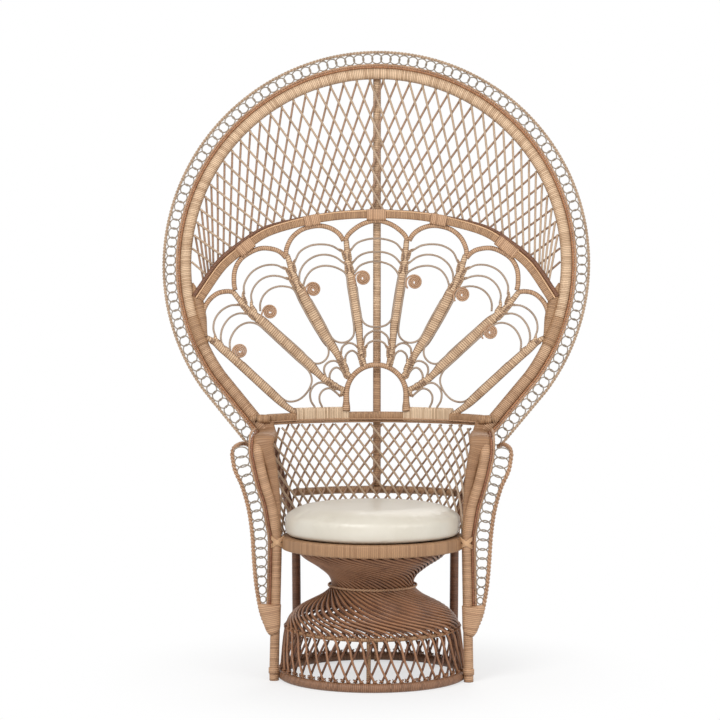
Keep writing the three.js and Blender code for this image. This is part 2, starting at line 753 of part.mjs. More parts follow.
function landing(degrees) {
  const index = Math.max(1, landingShares.findIndex(([angle]) => angle >= degrees));
  const [a0, s0] = landingShares[index - 1];
  const [a1, s1] = landingShares[index];
  return s0 + ((s1 - s0) * (degrees - a0)) / (a1 - a0);
}

function fanLattice() {
  const strands = [];
  const reach = -Math.sqrt((fanPole + seat + strand) ** 2 - (layerGap / 2) ** 2) - seat;
  for (let degrees = latticeFrom; degrees < latticeTo; degrees += latticePitch) {
    const from = hoopPlace(degrees, reach);
    const to = archCurve.getPointAt(0.5 + landing(degrees) / 2);
    if (from.distanceTo(to) > shortestStrand) {
      strands.push([from, from.clone().lerp(to, 1 / 2), to]);
    }
  }
  const run = laced(strands);
  const front = run.map((p) => shellPoint(p.x, p.y, -layerGap / 2));
  const rear = run.map((p) => shellPoint(-p.x, p.y, layerGap / 2));
  add('fan_lattice_front', cane(front, strand, strandSides), rattan);
  add('fan_lattice_rear', cane(rear, strand, strandSides), darkRattan);
}

// Flower: lobes hang under the arch between trunks that run down to a small arch at the crossbar

const flowerInset = 3;                // the flower stands this far behind the arch's middle
const flowerBack = -(latticeFront + archDepth / 2) + flowerInset;

const lobeShares = [
  [[-0.907, -0.307], [-0.897, -0.243], [-0.869, -0.196], [-0.826, -0.164], [-0.776, -0.156]],
  [[-0.748, -0.122], [-0.745, -0.045], [-0.717, 0.011], [-0.667, 0.0496], [-0.606, 0.072], [-0.534, 0.064],
    [-0.5, 0.045]],
  [[-0.477, 0.0635], [-0.45, 0.1245], [-0.402, 0.1675], [-0.349, 0.1865], [-0.294, 0.1915], [-0.238, 0.1765],
    [-0.196, 0.1465]],
  [[-0.15, 0.143], [-0.098, 0.188], [-0.048, 0.211], [0, 0.219], [0.048, 0.211], [0.098, 0.188],
    [0.15, 0.143]],
];

// Left half of the trunks, from the lobes down: places as above.
const trunkShares = [
  [[-0.856, -0.432], [-0.746, -0.505], [-0.458, -0.743], [-0.416, -0.782]],
  [[-0.737, -0.161], [-0.661, -0.238], [-0.582, -0.317], [-0.331, -0.545], [-0.259, -0.616],
    [-0.154, -0.6806]],
  [[-0.477, 0.021], [-0.407, -0.135], [-0.354, -0.217], [-0.238, -0.423], [-0.183, -0.511],
    [-0.1255, -0.602]],
  [[-0.169, 0.108], [-0.134, -0.069], [-0.106, -0.317], [-0.08, -0.431], [-0.0653, -0.5535]],
];
// Half widths along a trunk as shares of its depth, and how wide each trunk is beside the widest.
const trunkWidthShares = [0.55, 0.85, 1.1, 1.3, 1.3, 1.3, 1.3, 0.75, 0.75];
const trunkFullShares = [0.85, 1, 1, 0.85];

// Moves a place of the flower straight out from the fan's middle, until a pole there touches the hoop.
function besideHoop(p, pole) {
  const middle = place(0, fanCentre);
  return p.clone().sub(middle).setLength(fanRadius - fanPole - seat - pole).add(middle);
}

function mirroredPlaces(rows) {
  return [...rows].reverse().map((row) => [...row].reverse().map(([x, z]) => [-x, z]));
}

function trunkCurves() {
  const left = trunkShares.map(fanPlaces);
  left[0][0] = besideHoop(left[0][0], trunkWidthShares[0] * trunkDepth);
  const right = [...left].reverse().map((places) => places.map((p) => place(-p.x, p.y)));
  return [...left, ...right].map((places) => new THREE.SplineCurve(places));
}

function lobes() {
  const rows = [...lobeShares, ...mirroredPlaces(lobeShares.slice(0, 3))].map(fanPlaces);
  const ends = rows[rows.length - 1];
  rows[0][0] = besideHoop(rows[0][0], lobePole);
  ends.push(besideHoop(ends.pop(), lobePole));
  rows.forEach((row, index) => {
    const curve = new THREE.SplineCurve(row);
    const points = curve.getSpacedPoints(10).map((p) => shellPoint(p.x, p.y, flowerBack));
    add(`petal_lobe_${index + 1}`, cane(points, lobePole, rodSides), rattan);
  });
}

function trunks(curves) {
  curves.forEach((curve, index) => {
    const steps = trunkWidthShares.length - 1;
    const fullness = trunkFullShares[Math.min(index, curves.length - 1 - index)];
    const points = curve.getSpacedPoints(steps).map((p) => shellPoint(p.x, p.y, flowerBack));
    const sectionAt = (i) => {
      const half = Math.max(trunkWidthShares[i] * fullness, trunkWidthShares[0]) * trunkDepth;
      return polygon(1, rodSides).map((p) => place(p.x * half, (p.y * trunkDepth) / 2));
    };
    add(`petal_trunk_${index + 1}`, band(points, sectionAt, vector(0, 1, 0)), rattan);
  });
}

// The small arch at the flower's heart, whose feet stand on the crossbar.
function heart() {
  const centreZ = fanPlaces([[0, heartHeightShare]])[0].y;
  const heartRadius = heartShare * fanRadius;
  const turn = spread(12, 180, 0).map((a) => place(heartRadius * Math.cos(radians(a)),
    centreZ + heartRadius * Math.sin(radians(a))));
  const footZ = barHeight + barSize / 2 + seat;
  const line = [place(-heartRadius, footZ), ...turn, place(heartRadius, footZ)];
  const points = line.map((p) => shellPoint(p.x, p.y, flowerBack));
  points[0].z = footZ;
  add('petal_heart_arch', cane(points, lobePole, rodSides), rattan);
}

// One cane makes a petal's inside: three nested arcs, a long loop down the trunks and a spiral at its end.
function petalCaneRun(left, right, leftStart, rightStart) {
  const inset = petalCane + seat + caneInset;
  const heartPlace = fanPlaces([[0, heartHeightShare]])[0];
  const beside = (curve, distance, other) => {
    const u = THREE.MathUtils.clamp(distance / curve.getLength(), 0, 1);
    const along = curve.getTangentAt(u);
    const point = curve.getPointAt(u);
    const across = place(-along.y, along.x);
    const target = other.getPointAt(u).sub(point);
    return point.addScaledVector(across, Math.sign(across.dot(target)) * inset);
  };
  const arcs = [0, 1, 2].map((j) => {
    const from = beside(left, leftStart + j * arcSpacing, right);
    const to = beside(right, rightStart + j * arcSpacing, left);
    const middle = from.clone().lerp(to, 0.5);
    const half = to.clone().sub(from).multiplyScalar(0.5);
    const outward = place(-half.y, half.x);
    outward.multiplyScalar(Math.sign(outward.dot(middle.clone().sub(heartPlace))) * arcRiseShare);
    half.multiplyScalar(1 / Math.cos(radians(arcStart)));
    return spread(6, arcStart, 180 - arcStart).map((a) => (
      middle.clone().addScaledVector(half, -Math.cos(radians(a)))
        .addScaledVector(outward, Math.sin(radians(a)) - Math.sin(radians(arcStart)))));
  });
  const rightLength = right.getLength();
  const leftLength = left.getLength();
  const down = spread(3, rightStart + downShare * arcSpacing, rightLength * loopFootShare)
    .map((distance) => beside(right, distance, left));
  const up = spread(3, leftLength * loopFootShare, leftStart + upShare * arcSpacing)
    .map((distance) => beside(left, distance, right));
  const low = down[down.length - 1].clone().lerp(up[0], 0.5);
  low.lerp(heartPlace, loopDropShare);
  const end = up[up.length - 1];
  const rise = end.clone().sub(up[up.length - 2]).normalize();
  const inward = place(rise.y, -rise.x);
  const spiral = [];
  const count = spiralTurns * spiralSteps;
  const core = end.clone().addScaledVector(inward, spiralRadius);
  for (let i = 1; i <= count; i += 1) {
    const angle = (i / spiralSteps) * 2 * Math.PI;
    const radius = spiralRadius - ((spiralRadius - spiralCoreShare * petalCane) * i) / count;
    spiral.push(core.clone().addScaledVector(inward, -radius * Math.cos(angle))
      .addScaledVector(rise, radius * Math.sin(angle)));
  }
  return [...arcs[0], ...arcs[1].reverse(), ...arcs[2], ...down, low, ...up, ...spiral];
}

function petals(curves) {
  for (let i = 0; i < curves.length - 1; i += 1) {
    const back = flowerBack - trunkDepth / 2 - seat - petalCane - petalStandOffs[i];
    const leftStart = i === 0 ? arcSpacing * endStartShare : arcSpacing;
    const rightStart = i === curves.length - 2 ? arcSpacing * endStartShare : arcSpacing;
    const points = petalCaneRun(curves[i], curves[i + 1], leftStart, rightStart)
      .map((p) => shellPoint(p.x, p.y, back));
    reportGap(`petal_cane_${i + 1}`, points, petalCane);
    add(`petal_cane_${i + 1}`, cane(points, petalCane, strandSides), paleCane);
  }
}

drum();
seatPieces();
fan();
postsAndArms();
tubLattice();
rearFrame();
crossbar();
centrePost();
arch();
fanLattice();
lobes();
const trunkLines = trunkCurves();
trunks(trunkLines);
heart();
petals(trunkLines);

const bounds = new THREE.Box3().setFromObject(chair);
const centre = bounds.getCenter(new THREE.Vector3());
chair.position.set(-centre.x, -centre.y, -bounds.min.z);

export default chair;
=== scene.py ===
import math
import bpy
import numpy as np
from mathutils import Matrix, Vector

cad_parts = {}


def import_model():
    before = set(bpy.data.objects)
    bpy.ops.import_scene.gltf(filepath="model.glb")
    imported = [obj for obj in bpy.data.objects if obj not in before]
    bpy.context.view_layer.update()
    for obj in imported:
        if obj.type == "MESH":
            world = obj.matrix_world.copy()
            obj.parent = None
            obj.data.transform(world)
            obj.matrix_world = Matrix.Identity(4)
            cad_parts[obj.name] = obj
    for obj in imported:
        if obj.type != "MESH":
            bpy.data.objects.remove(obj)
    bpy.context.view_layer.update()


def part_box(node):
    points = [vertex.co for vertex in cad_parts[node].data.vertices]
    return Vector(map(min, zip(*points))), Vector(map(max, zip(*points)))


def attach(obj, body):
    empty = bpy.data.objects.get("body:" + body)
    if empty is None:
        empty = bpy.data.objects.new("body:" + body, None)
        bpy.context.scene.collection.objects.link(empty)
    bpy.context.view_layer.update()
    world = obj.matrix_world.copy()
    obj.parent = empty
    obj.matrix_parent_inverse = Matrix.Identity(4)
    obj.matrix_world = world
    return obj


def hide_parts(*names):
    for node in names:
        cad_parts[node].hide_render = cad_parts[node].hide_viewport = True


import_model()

# The chair's own sizes in millimetres, angles in degrees. The drum stands round X = Y = 0 here.
BASE_R, BASE_POLE = 217.0, 11.0
SEAT_R, SEAT_UNDER, SEAT_TOP, RIM_WIDTH = 217.0, 306.0, 336.0, 26.0
MID_Z, MID_R, MID_POLE, MID_STRAND_R = 118.0, 198.0, 4.0, 205.2
WAIST_Z, WAIST_R = 218.0, 103.0
STRAND = 2.75
DRUM_STRANDS, DRUM_LEAN, MID_TURN = 44, 11.0, 214.0
POST, POST_SOLID, REAR_LEG, RAIL, RAIL_Z, CENTRE_POST = 11.3, 12.5, 10.5, 9.4, 422.0, 9.75
POST_FOOT_X, POST_SEAT_X = 228.6, 224.8
ARM_X, ARM_Y, ARM_Z = 270.0, -60.0, 571.0
FAN_POLE, FAN_R, FAN_Z = 13.5, 465.0, 987.0
TAIL_ANGLE, TAIL_SLOPE, TAIL_END = 36.5, 50.0, 573.0
LEAN, LEAN_Z, LEAN_Y, HOLLOW = 9.3, 600.0, 90.0, 129.0
BAR_Z, BAR_SIZE = 607.0, 20.0
TRIM_OUT, INNER_OUT, OUTER_OUT = 16.5, 22.5, 54.0
ARCH_HEIGHT, ARCH_DEPTH, REAR_BAR = 21.0, 14.0, 6.0
LAYER_GAP, SAG = 6.5, 1.5
HEART_R = 74.0
GAP = 0.3                       # what the solids keep from each other, or reach in where they bear
FLAT = math.cos(math.pi / 8)    # the solids' poles have eight sides, and this share reaches their flats

SIDES = ((-1, "left"), (1, "right"))
FORWARD, UPWARD = (0, 1, 0), (0, 0, 1)    # what a section's second axis keeps to

low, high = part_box("base_hoop")
SHIFT = np.array([0.0, (low.y + high.y) / 2, 0.0])

rad = math.radians


# Mesh building

class Build:
    """Collects swept tubes into one mesh whose UV is (metres along, share of the way round)."""

    def __init__(self):
        self.verts, self.faces, self.uvs, self.count = [], [], [], 0

    def grid(self, rings, u, v, closed=False):
        n, s = rings.shape[:2]
        base = self.count
        self.verts.append(rings.reshape(-1, 3))
        self.count += n * s
        r, c = np.meshgrid(np.arange(n if closed else n - 1), np.arange(s), indexing="ij")
        r2, c2 = (r + 1) % n, (c + 1) % s
        quads = np.stack([r * s + c, r * s + c2, r2 * s + c2, r2 * s + c], -1).reshape(-1, 4) + base
        self.faces.extend(quads.tolist())
        if closed:
            u = np.append(u, u[-1] + (u[-1] - u[-2]))
        corners = ((u[r], v[c]), (u[r], v[c + 1]), (u[r + 1], v[c + 1]), (u[r + 1], v[c]))
        self.uvs.append(np.stack([np.stack(corner, -1) for corner in corners], 2).reshape(-1, 2))
        if not closed:
            for start, order in ((0, 1), ((n - 1) * s, -1)):
                self.faces.append([base + start + i for i in range(s)][::-order])
                self.uvs.append(np.tile([u[0] if start == 0 else u[-1], 0.5], (s, 1)))

    def tube(self, points, radius, sides=8, closed=False, depth=None, squash=1.0):
        radius = np.broadcast_to(np.asarray(radius, float), (len(points),))
        self.sweep(points, (ring(sides) * [1, squash])[None] * radius[:, None, None], closed, depth)

    def sweep(self, points, sections, closed=False, depth=None):
        p = np.asarray(points, float)
        side, up = frames(p, closed, depth)
        sections = np.broadcast_to(sections, (len(p),) + sections.shape[-2:])
        rings = p[:, None] + side[:, None] * sections[:, :, :1] + up[:, None] * sections[:, :, 1:]
        v = np.linspace(0, 1, sections.shape[1] + 1)
        self.grid(rings, lengths(p) / 1000, v, closed)

    def piece(self, name, material, nodes=(), body="chair", slot="rattan"):
        """Makes the mesh an object that rides on a body and stands for the nodes."""
        mesh = bpy.data.meshes.new(name)
        verts = (np.concatenate(self.verts) + SHIFT * 1000) / 1000
        corners = np.array([i for f in self.faces for i in f], np.int32)
        sizes = np.array([len(f) for f in self.faces], np.int32)
        mesh.vertices.add(len(verts))
        mesh.vertices.foreach_set("co", verts.astype(np.float32).ravel())
        mesh.loops.add(len(corners))
        mesh.loops.foreach_set("vertex_index", corners)
        mesh.polygons.add(len(sizes))
        starts = np.concatenate([[0], np.cumsum(sizes)[:-1]]).astype(np.int32)
        mesh.polygons.foreach_set("loop_start", starts)
        mesh.polygons.foreach_set("loop_total", sizes)
        mesh.update(calc_edges=True)
        layer = mesh.uv_layers.new(name="UVMap")
        layer.data.foreach_set("uv", np.concatenate(self.uvs).astype(np.float32).ravel())
        mesh.polygons.foreach_set("use_smooth", [True] * len(sizes))
        mesh.validate()
        obj = bpy.data.objects.new(name, mesh)
        bpy.context.scene.collection.objects.link(obj)
        mesh.materials.append(material)
        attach(obj, body)
        if nodes:
            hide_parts(*nodes)
        return obj


def turns(sides):
    return np.arange(sides) / sides * 2 * math.pi


def ring(sides):
    return np.stack([np.cos(turns(sides)), np.sin(turns(sides))], -1)


def polar(radius, angle, z):
    return np.stack(np.broadcast_arrays(radius * np.cos(angle), radius * np.sin(angle), z), -1)


def circle(radius, z, count):
    return polar(radius, turns(count), z)


def unit(v):
    return v / np.maximum(np.linalg.norm(v, axis=-1, keepdims=True), 1e-9)


def lengths(p):
    """How far along a line each of its points lies."""
    return np.concatenate([[0], np.cumsum(np.linalg.norm(np.diff(p, axis=0), axis=1))])


def frames(p, closed, depth):
    """Two directions across a line at each point. The second keeps to `depth` where that is given."""
    if closed:
        tangent = unit(np.roll(p, -1, 0) - np.roll(p, 1, 0))
    else:
        tangent = unit(np.gradient(p, axis=0))
    if depth is not None:
        depth = np.broadcast_to(np.asarray(depth, float), p.shape)
        side = unit(np.cross(tangent, depth))
        return side, unit(np.cross(side, tangent))
    side = np.empty_like(p)
    first = np.cross(tangent[0], [0, 0, 1.0])
    if np.linalg.norm(first) < 0.2:
        first = np.cross(tangent[0], [0, 1.0, 0])
    side[0] = unit(first)
    for i in range(1, len(p)):
        side[i] = unit(side[i - 1] - tangent[i] * np.dot(side[i - 1], tangent[i]))
    return side, unit(np.cross(side, tangent))


def blend(a, b, t0, t1, t):
    return a * (t1 - t) / (t1 - t0) + b * (t - t0) / (t1 - t0)


def spline(points, step=4.0):
    """A smooth line through points, sampled about every `step` mm."""
    p = np.asarray(points, float)
    ext = np.concatenate([2 * p[:1] - p[1:2], p, 2 * p[-1:] - p[-2:-1]])
    out = []
    for i in range(1, len(ext) - 2):
        a, b, c, d = ext[i - 1:i + 3]
        spans = [max(np.linalg.norm(q - r), 1e-6) ** 0.5 for q, r in ((b, a), (c, b), (d, c))]
        t0, t1, t2, t3 = np.cumsum([0] + spans)
        n = max(2, int(np.linalg.norm(c - b) / step))
        for t in np.linspace(t1, t2, n, endpoint=False):
            middle = blend(b, c, t1, t2, t)
            before = blend(blend(a, b, t0, t1, t), middle, t0, t2, t)
            after = blend(middle, blend(c, d, t2, t3, t), t1, t3, t)
            out.append(blend(before, after, t1, t2, t))
    out.append(p[-1])
    return np.array(out)


def resample(p, step):
    p = np.asarray(p, float)
    d = lengths(p)
    n = max(3, int(round(d[-1] / step)) + 1)
    s = np.linspace(0, d[-1], n)
    return np.stack([np.interp(s, d, p[:, k]) for k in range(p.shape[1])], -1)


def round_box(width, height, corner, steps=4):
    points = []
    for cx, cy, a0 in ((1, 1, 0), (-1, 1, 90), (-1, -1, 180), (1, -1, 270)):
        for a in np.linspace(a0, a0 + 90, steps):
            points.append((cx * (width / 2 - corner) + corner * math.cos(rad(a)),
                           cy * (height / 2 - corner) + corner * math.sin(rad(a))))
    return np.array(points)


TWIST_POINTS = 10    # points of a twisted cane on each of its turns


def twisted(build, points, strand, offset, pitch, closed=False, depth=None):
    """Two canes that twist round a line."""
    p = resample(points, pitch / TWIST_POINTS)
    if closed:
        p = p[:-1]
    side, up = frames(p, closed, depth)
    n = len(p)
    share = np.arange(n) / TWIST_POINTS
    if closed:
        share = np.arange(n) / n * max(1, round(n / TWIST_POINTS))
    for start in (0, math.pi):
        a = share * 2 * math.pi + start
        line = p + side * (offset * np.cos(a))[:, None] + up * (offset * np.sin(a))[:, None]
        build.tube(line, strand, 6, closed=closed)


def pole(name, material, nodes, points, radius, sides, slot="rattan", **shape):
    """One tube as a piece of its own."""
    build = Build()
    build.tube(points, radius, sides, **shape)
    build.piece(name, material, nodes, slot=slot)


def beam(name, material, nodes, points, section, **shape):
    """One swept section as a piece of its own."""
    build = Build()
    build.sweep(points, section, **shape)
    build.piece(name, material, nodes)


def twist(name, material, nodes, points, strand, offset, pitch, core=0.0, **shape):
    """Two twisted canes as a piece, round a core where one is given."""
    build = Build()
    twisted(build, points, strand, offset, pitch, **shape)
    if core:
        build.tube(points, core, 6)
    build.piece(name, material, nodes)


# The fan's surfaces, as the frame has them

TOP_Z = FAN_Z + FAN_R
TAIL_X = FAN_R * math.cos(rad(TAIL_ANGLE))
TAIL_Z = FAN_Z - FAN_R * math.sin(rad(TAIL_ANGLE))
TAIL_END_X = TAIL_X - (TAIL_Z - TAIL_END) / math.tan(rad(TAIL_SLOPE))
HOOP_STEP, TAIL_LENGTH = 6.0, 170


def hoop_y(z):
    return LEAN_Y + (np.asarray(z) - LEAN_Z) * math.tan(rad(LEAN))


def half_width(z):
    z = np.asarray(z, float)
    tail = TAIL_X - (TAIL_Z - z) / math.tan(rad(TAIL_SLOPE))
    return np.where(z < TAIL_Z, tail, np.sqrt(np.maximum(FAN_R ** 2 - (z - FAN_Z) ** 2, 0)))


def shell(places, back=0.0):
    """Points on the fan's hollow surface, or `back` mm behind it, at places of X and Z."""
    p = np.asarray(places, float)
    x, z = p[:, 0], p[:, 1]
    w = half_width(z)
    share = np.where(w > 0, np.minimum(np.abs(x) / np.maximum(w, 1e-6), 1), 1)
    depth = HOLLOW * (TOP_Z - z) / (TOP_Z - BAR_Z)
    return np.stack([x, hoop_y(z) + depth * (1 - share ** 2) + back, z], -1)


def hoop_place(deg, out):
    a = np.radians(deg)
    return np.stack([(FAN_R + out) * np.sin(a), FAN_Z + (FAN_R + out) * np.cos(a)], -1)


def hoop_line(out):
    """Places along the hoop and its tails, `out` mm outside their middle."""
    half = 90 + TAIL_ANGLE
    count = int((FAN_R + out) * rad(2 * half) / HOOP_STEP)
    arc = hoop_place(np.linspace(-half, half, count), out)
    along = np.array([TAIL_END_X - TAIL_X, TAIL_END - TAIL_Z])
    normal = np.array([-along[1], along[0]]) / np.linalg.norm(along)
    part = np.linspace(1, 0, int(TAIL_LENGTH / HOOP_STEP), endpoint=False)[:, None]
    right = np.array([TAIL_X, TAIL_Z]) + along * part + normal * out
    return np.concatenate([right * [-1, 1], arc, right[::-1]])


def standing(places, back=0.0):
    p = np.asarray(places, float)
    return np.stack([p[:, 0], hoop_y(p[:, 1]) + back, p[:, 1]], -1)


# The camera, which the placing of small canes shares: distance and height in mm, then pixels and degrees
VIEW_D, VIEW_Z, FOCAL, HORIZON, AXIS_PX, VIEW_AZ = 5100.0, 930.0, 2150.0, 285.0, 372.5, 2.6
FLOWER_PX = (377.5, 300)    # a picture point on the flower's middle line


def seen(points, back):
    """Places on the fan's hollow surface that the camera sees at these picture points, in pixels."""
    px = np.asarray(points, float)
    y = np.full(len(px), 190.0)
    for _ in range(4):
        scale = (VIEW_D + y) / FOCAL
        x = (px[:, 0] - AXIS_PX) * scale - y * math.sin(rad(VIEW_AZ))
        z = VIEW_Z - (px[:, 1] - HORIZON) * scale
        y = shell(np.stack([x, z], -1), back)[:, 1]
    return np.stack([x, z], -1)


# Materials

def plug(socket, value):
    """Links an output to an input, or sets the input to a constant."""
    if isinstance(value, bpy.types.NodeSocket):
        socket.id_data.links.new(value, socket)
    else:
        socket.default_value = value


def node(tree, kind, **inputs):
    """Adds a node. A key is an input's name, i and its number, or an underscore and an attribute."""
    n = tree.nodes.new(kind)
    for key, value in inputs.items():
        if key.startswith("_"):
            setattr(n, key[1:], value)
        elif key[1:].isdigit():
            plug(n.inputs[int(key[1:])], value)
        else:
            plug(n.inputs[key.replace("_", " ")], value)
    return n


def maths(op, *values):
    """One step of arithmetic on outputs and constants."""
    tree = next(v for v in values if isinstance(v, bpy.types.NodeSocket)).id_data
    n = tree.nodes.new("ShaderNodeMath")
    n.operation = op
    for socket, value in zip(n.inputs, values):
        plug(socket, value)
    return n.outputs[0]


def add(a, b):
    return maths("ADD", a, b)


def times(a, b):
    return maths("MULTIPLY", a, b)


def noise(tree, place, scale, detail, roughness=0.5):
    n = node(tree, "ShaderNodeTexNoise", Vector=place, Scale=scale, Detail=detail, Roughness=roughness)
    return n.outputs[0]


def srgb(colour):
    """A colour in 0 to 255 as the shader's linear one."""
    shares = [v / 255 for v in colour]
    return tuple(v / 12.92 if v <= 0.04045 else ((v + 0.055) / 1.055) ** 2.4 for v in shares) + (1.0,)


def lighter(colour, factor):
    return tuple(min(c * factor, 1) for c in colour[:3]) + (1,)


def ramp(factor, stops):
    tree = factor.id_data
    n = node(tree, "ShaderNodeValToRGB", i0=factor)
    elements = n.color_ramp.elements
    while len(elements) < len(stops):
        elements.new(0.5)
    for element, (position, colour) in zip(elements, stops):
        element.position = position
        element.color = colour
    return n.outputs[0]


def mix(kind, factor, a, b):
    n = node(factor.id_data, "ShaderNodeMix", _data_type="RGBA", _blend_type=kind, i0=factor, i6=a, i7=b)
    return n.outputs[2]


def surface(name, roughness, specular=0.5):
    m = bpy.data.materials.new(name)
    m.use_nodes = True
    tree = m.node_tree
    shader = tree.nodes["Principled BSDF"]
    shader.inputs["Roughness"].default_value = roughness
    shader.inputs["Specular IOR Level"].default_value = specular
    return m, tree, shader


def dress(shader, colour, height, strength, depth, rough):
    """Gives a shader its colour, its relief of a depth in metres and its roughness."""
    bump = node(shader.id_data, "ShaderNodeBump", Strength=strength, Distance=depth, Height=height)
    for key, value in (("Base Color", colour), ("Normal", bump.outputs[0]), ("Roughness", rough)):
        plug(shader.inputs[key], value)


WRAP_ROUGH, WRAP_DEPTH, WRAP_RELIEF = 0.5, 0.0009, 0.75
GROOVE_POWER, CROWN_POWER, FLANK_SHADE_POWER = 3.5, 3.0, 5.0
LOW_FROM, LOW_TO, LOW_SHADE_TINT = 0.9, 0.72, (0.66, 0.55, 0.47, 1.0)   # heights in metres where the painted shade below begins and where it is full, then the tint of that shade


def wrapped(name, light, mid, dark, contrast, pitch=0.0043, slant=1.0, rim=0.0, low=0.0):
    """Flat cane wound round a pole: fine turns with dark grooves, each turn a little different.

    The rim share paints shade on the two flanks, darker towards the pole's edges. The low share paints shade
    on what is below the middle of the back, darker towards the bottom."""
    light, mid, dark = srgb(light), srgb(mid), srgb(dark)
    m, tree, shader = surface(name, WRAP_ROUGH)
    split = node(tree, "ShaderNodeSeparateXYZ", Vector=node(tree, "ShaderNodeUVMap").outputs[0])
    turn = add(maths("DIVIDE", split.outputs[0], pitch), times(split.outputs[1], slant))
    index = maths("FLOOR", turn)
    across = maths("SUBTRACT", turn, index)
    chance = node(tree, "ShaderNodeTexWhiteNoise", _noise_dimensions="1D", W=index).outputs[0]
    edge = maths("ABSOLUTE", maths("SUBTRACT", times(across, 2.0), 1.0))
    place = node(tree, "ShaderNodeTexCoord").outputs["Object"]
    patches = noise(tree, place, 14.0, 3.0, 0.6)
    fibres = noise(tree, place, 900.0, 2.0, 0.6)
    value = add(times(chance, 0.6), times(patches, 0.4))
    value = add(value, times(maths("SUBTRACT", fibres, 0.5), 0.25))
    colour = ramp(value, [(0.1, mid), (0.5, light), (0.95, lighter(light, 1.12))])
    colour = mix("MIX", times(maths("POWER", edge, GROOVE_POWER), contrast), colour, dark)
    if rim:
        # Painted shade on the two flanks, darker towards the pole's edges
        cosine = maths("COSINE", times(split.outputs[1], 2 * math.pi))
        flank_shade = maths("POWER", maths("ABSOLUTE", cosine), FLANK_SHADE_POWER)
        colour = mix("MIX", times(flank_shade, rim), colour, dark)
    if low:
        # Painted shade below the middle of the back, darker towards the bottom
        height = node(tree, "ShaderNodeSeparateXYZ", Vector=place).outputs[2]
        shade_fall = node(tree, "ShaderNodeMapRange", i0=height, i1=LOW_FROM, i2=LOW_TO, i3=0.0, i4=low)
        colour = mix("MULTIPLY", shade_fall.outputs[0], colour, LOW_SHADE_TINT)
    height = add(maths("SUBTRACT", 1.0, maths("POWER", edge, CROWN_POWER)), times(chance, 0.25))
    height = add(height, times(fibres, 0.12))
    dress(shader, colour, height, WRAP_RELIEF, WRAP_DEPTH, add(WRAP_ROUGH - 0.06, times(fibres, 0.16)))
    return m


CANE_ROUGH, CANE_DEPTH, CANE_RELIEF, CANE_GRAIN = 0.42, 0.0004, 0.35, 960.0


def caned(name, light, dark):
    """Round or split cane: lengthwise fibres and patches of colour."""
    light, dark = srgb(light), srgb(dark)
    m, tree, shader = surface(name, CANE_ROUGH)
    uv = node(tree, "ShaderNodeUVMap").outputs[0]
    stretched = node(tree, "ShaderNodeMapping", Vector=uv, Scale=(28.0, 9.0, 1.0))
    place = node(tree, "ShaderNodeTexCoord").outputs["Object"]
    fibres = noise(tree, stretched.outputs[0], 4.0, 4.0, 0.65)
    patches = noise(tree, place, 22.0, 2.0)
    fine = noise(tree, place, CANE_GRAIN, 2.0)
    value = add(times(fibres, 0.5), times(patches, 0.5))
    colour = ramp(value, [(0.28, dark), (0.52, light), (0.85, lighter(light, 1.1))])
    height = add(fibres, times(fine, 0.4))
    dress(shader, colour, height, CANE_RELIEF, CANE_DEPTH, add(CANE_ROUGH - 0.08, times(fine, 0.18)))
    return m


# The rim and low shares here paint shade on the flanks of the wraps and on the lower part of the hoop
WRAP = wrapped("wrapped_rattan", (216, 184, 150), (180, 145, 111), (96, 58, 32), 0.85, rim=0.45, low=0.9)
WRAP_PANEL = wrapped("wrapped_panel", (156, 117, 83), (138, 100, 68), (78, 47, 27), 0.45)
WRAP_TRIM = wrapped("wrapped_trim", (172, 122, 84), (146, 98, 64), (78, 44, 24), 0.6)
WRAP_PETAL = wrapped("wrapped_petal", (208, 176, 142), (170, 136, 104), (88, 54, 32), 0.95, 0.0054, rim=0.75)
WRAP_LOBE = wrapped("wrapped_lobe", (190, 152, 118), (164, 126, 94), (84, 52, 30), 0.8, 0.005, rim=0.6)
WRAP_POST = wrapped("wrapped_post", (190, 150, 115), (162, 122, 89), (88, 54, 32), 0.7)
WRAP_TAN = wrapped("wrapped_rattan_tan", (169, 131, 96), (145, 108, 76), (76, 47, 26), 0.6)
# Painted shade: a darker copy of the rattan wrap for the base hoop, which gets less light near the floor
WRAP_BASE_SHADED = wrapped("wrapped_base_painted_shade", (146, 106, 78), (116, 80, 54), (60, 34, 20), 0.8)
WRAP_DARK = wrapped("wrapped_rattan_brown", (120, 80, 55), (97, 61, 40), (52, 28, 15), 0.6)
WRAP_RED = wrapped("wrapped_rattan_reddish", (150, 100, 70), (122, 76, 50), (62, 34, 18), 0.6)
RIM = wrapped("wrapped_rim", (167, 128, 93), (146, 108, 75), (78, 48, 25), 0.42, 0.0042, slant=0.0)
BLOCK = wrapped("wrapped_block", (218, 190, 158), (176, 144, 112), (100, 66, 40), 0.7, 0.0044, slant=0.0)
CANE = caned("cane_grey_beige", (180, 154, 128), (142, 116, 92))
CANE_DRUM = caned("cane_drum", (150, 105, 73), (98, 61, 36))
# Painted shade: a darker copy of the drum cane for the inner lining and the crossing strands low in the drum
CANE_DRUM_SHADED = caned("cane_drum_painted_shade", (112, 72, 47), (70, 41, 24))
CANE_BROWN = caned("cane_brown", (158, 124, 98), (122, 90, 66))
CANE_LOOP = caned("cane_loops", (146, 132, 116), (108, 94, 80))
CANE_PETAL = caned("cane_petals", (160, 138, 118), (120, 98, 80))
CANE_CURL = caned("cane_curls", (176, 138, 106), (136, 98, 70))
# Pale cane: the seat lashings' colour, and painted highlight on the arch's front edge
CANE_PALE_AND_HIGHLIGHT = caned("cane_pale_and_painted_highlight", (212, 172, 132), (178, 134, 94))
TWIST = caned("cane_twisted", (178, 140, 108), (134, 96, 68))


# Drum base

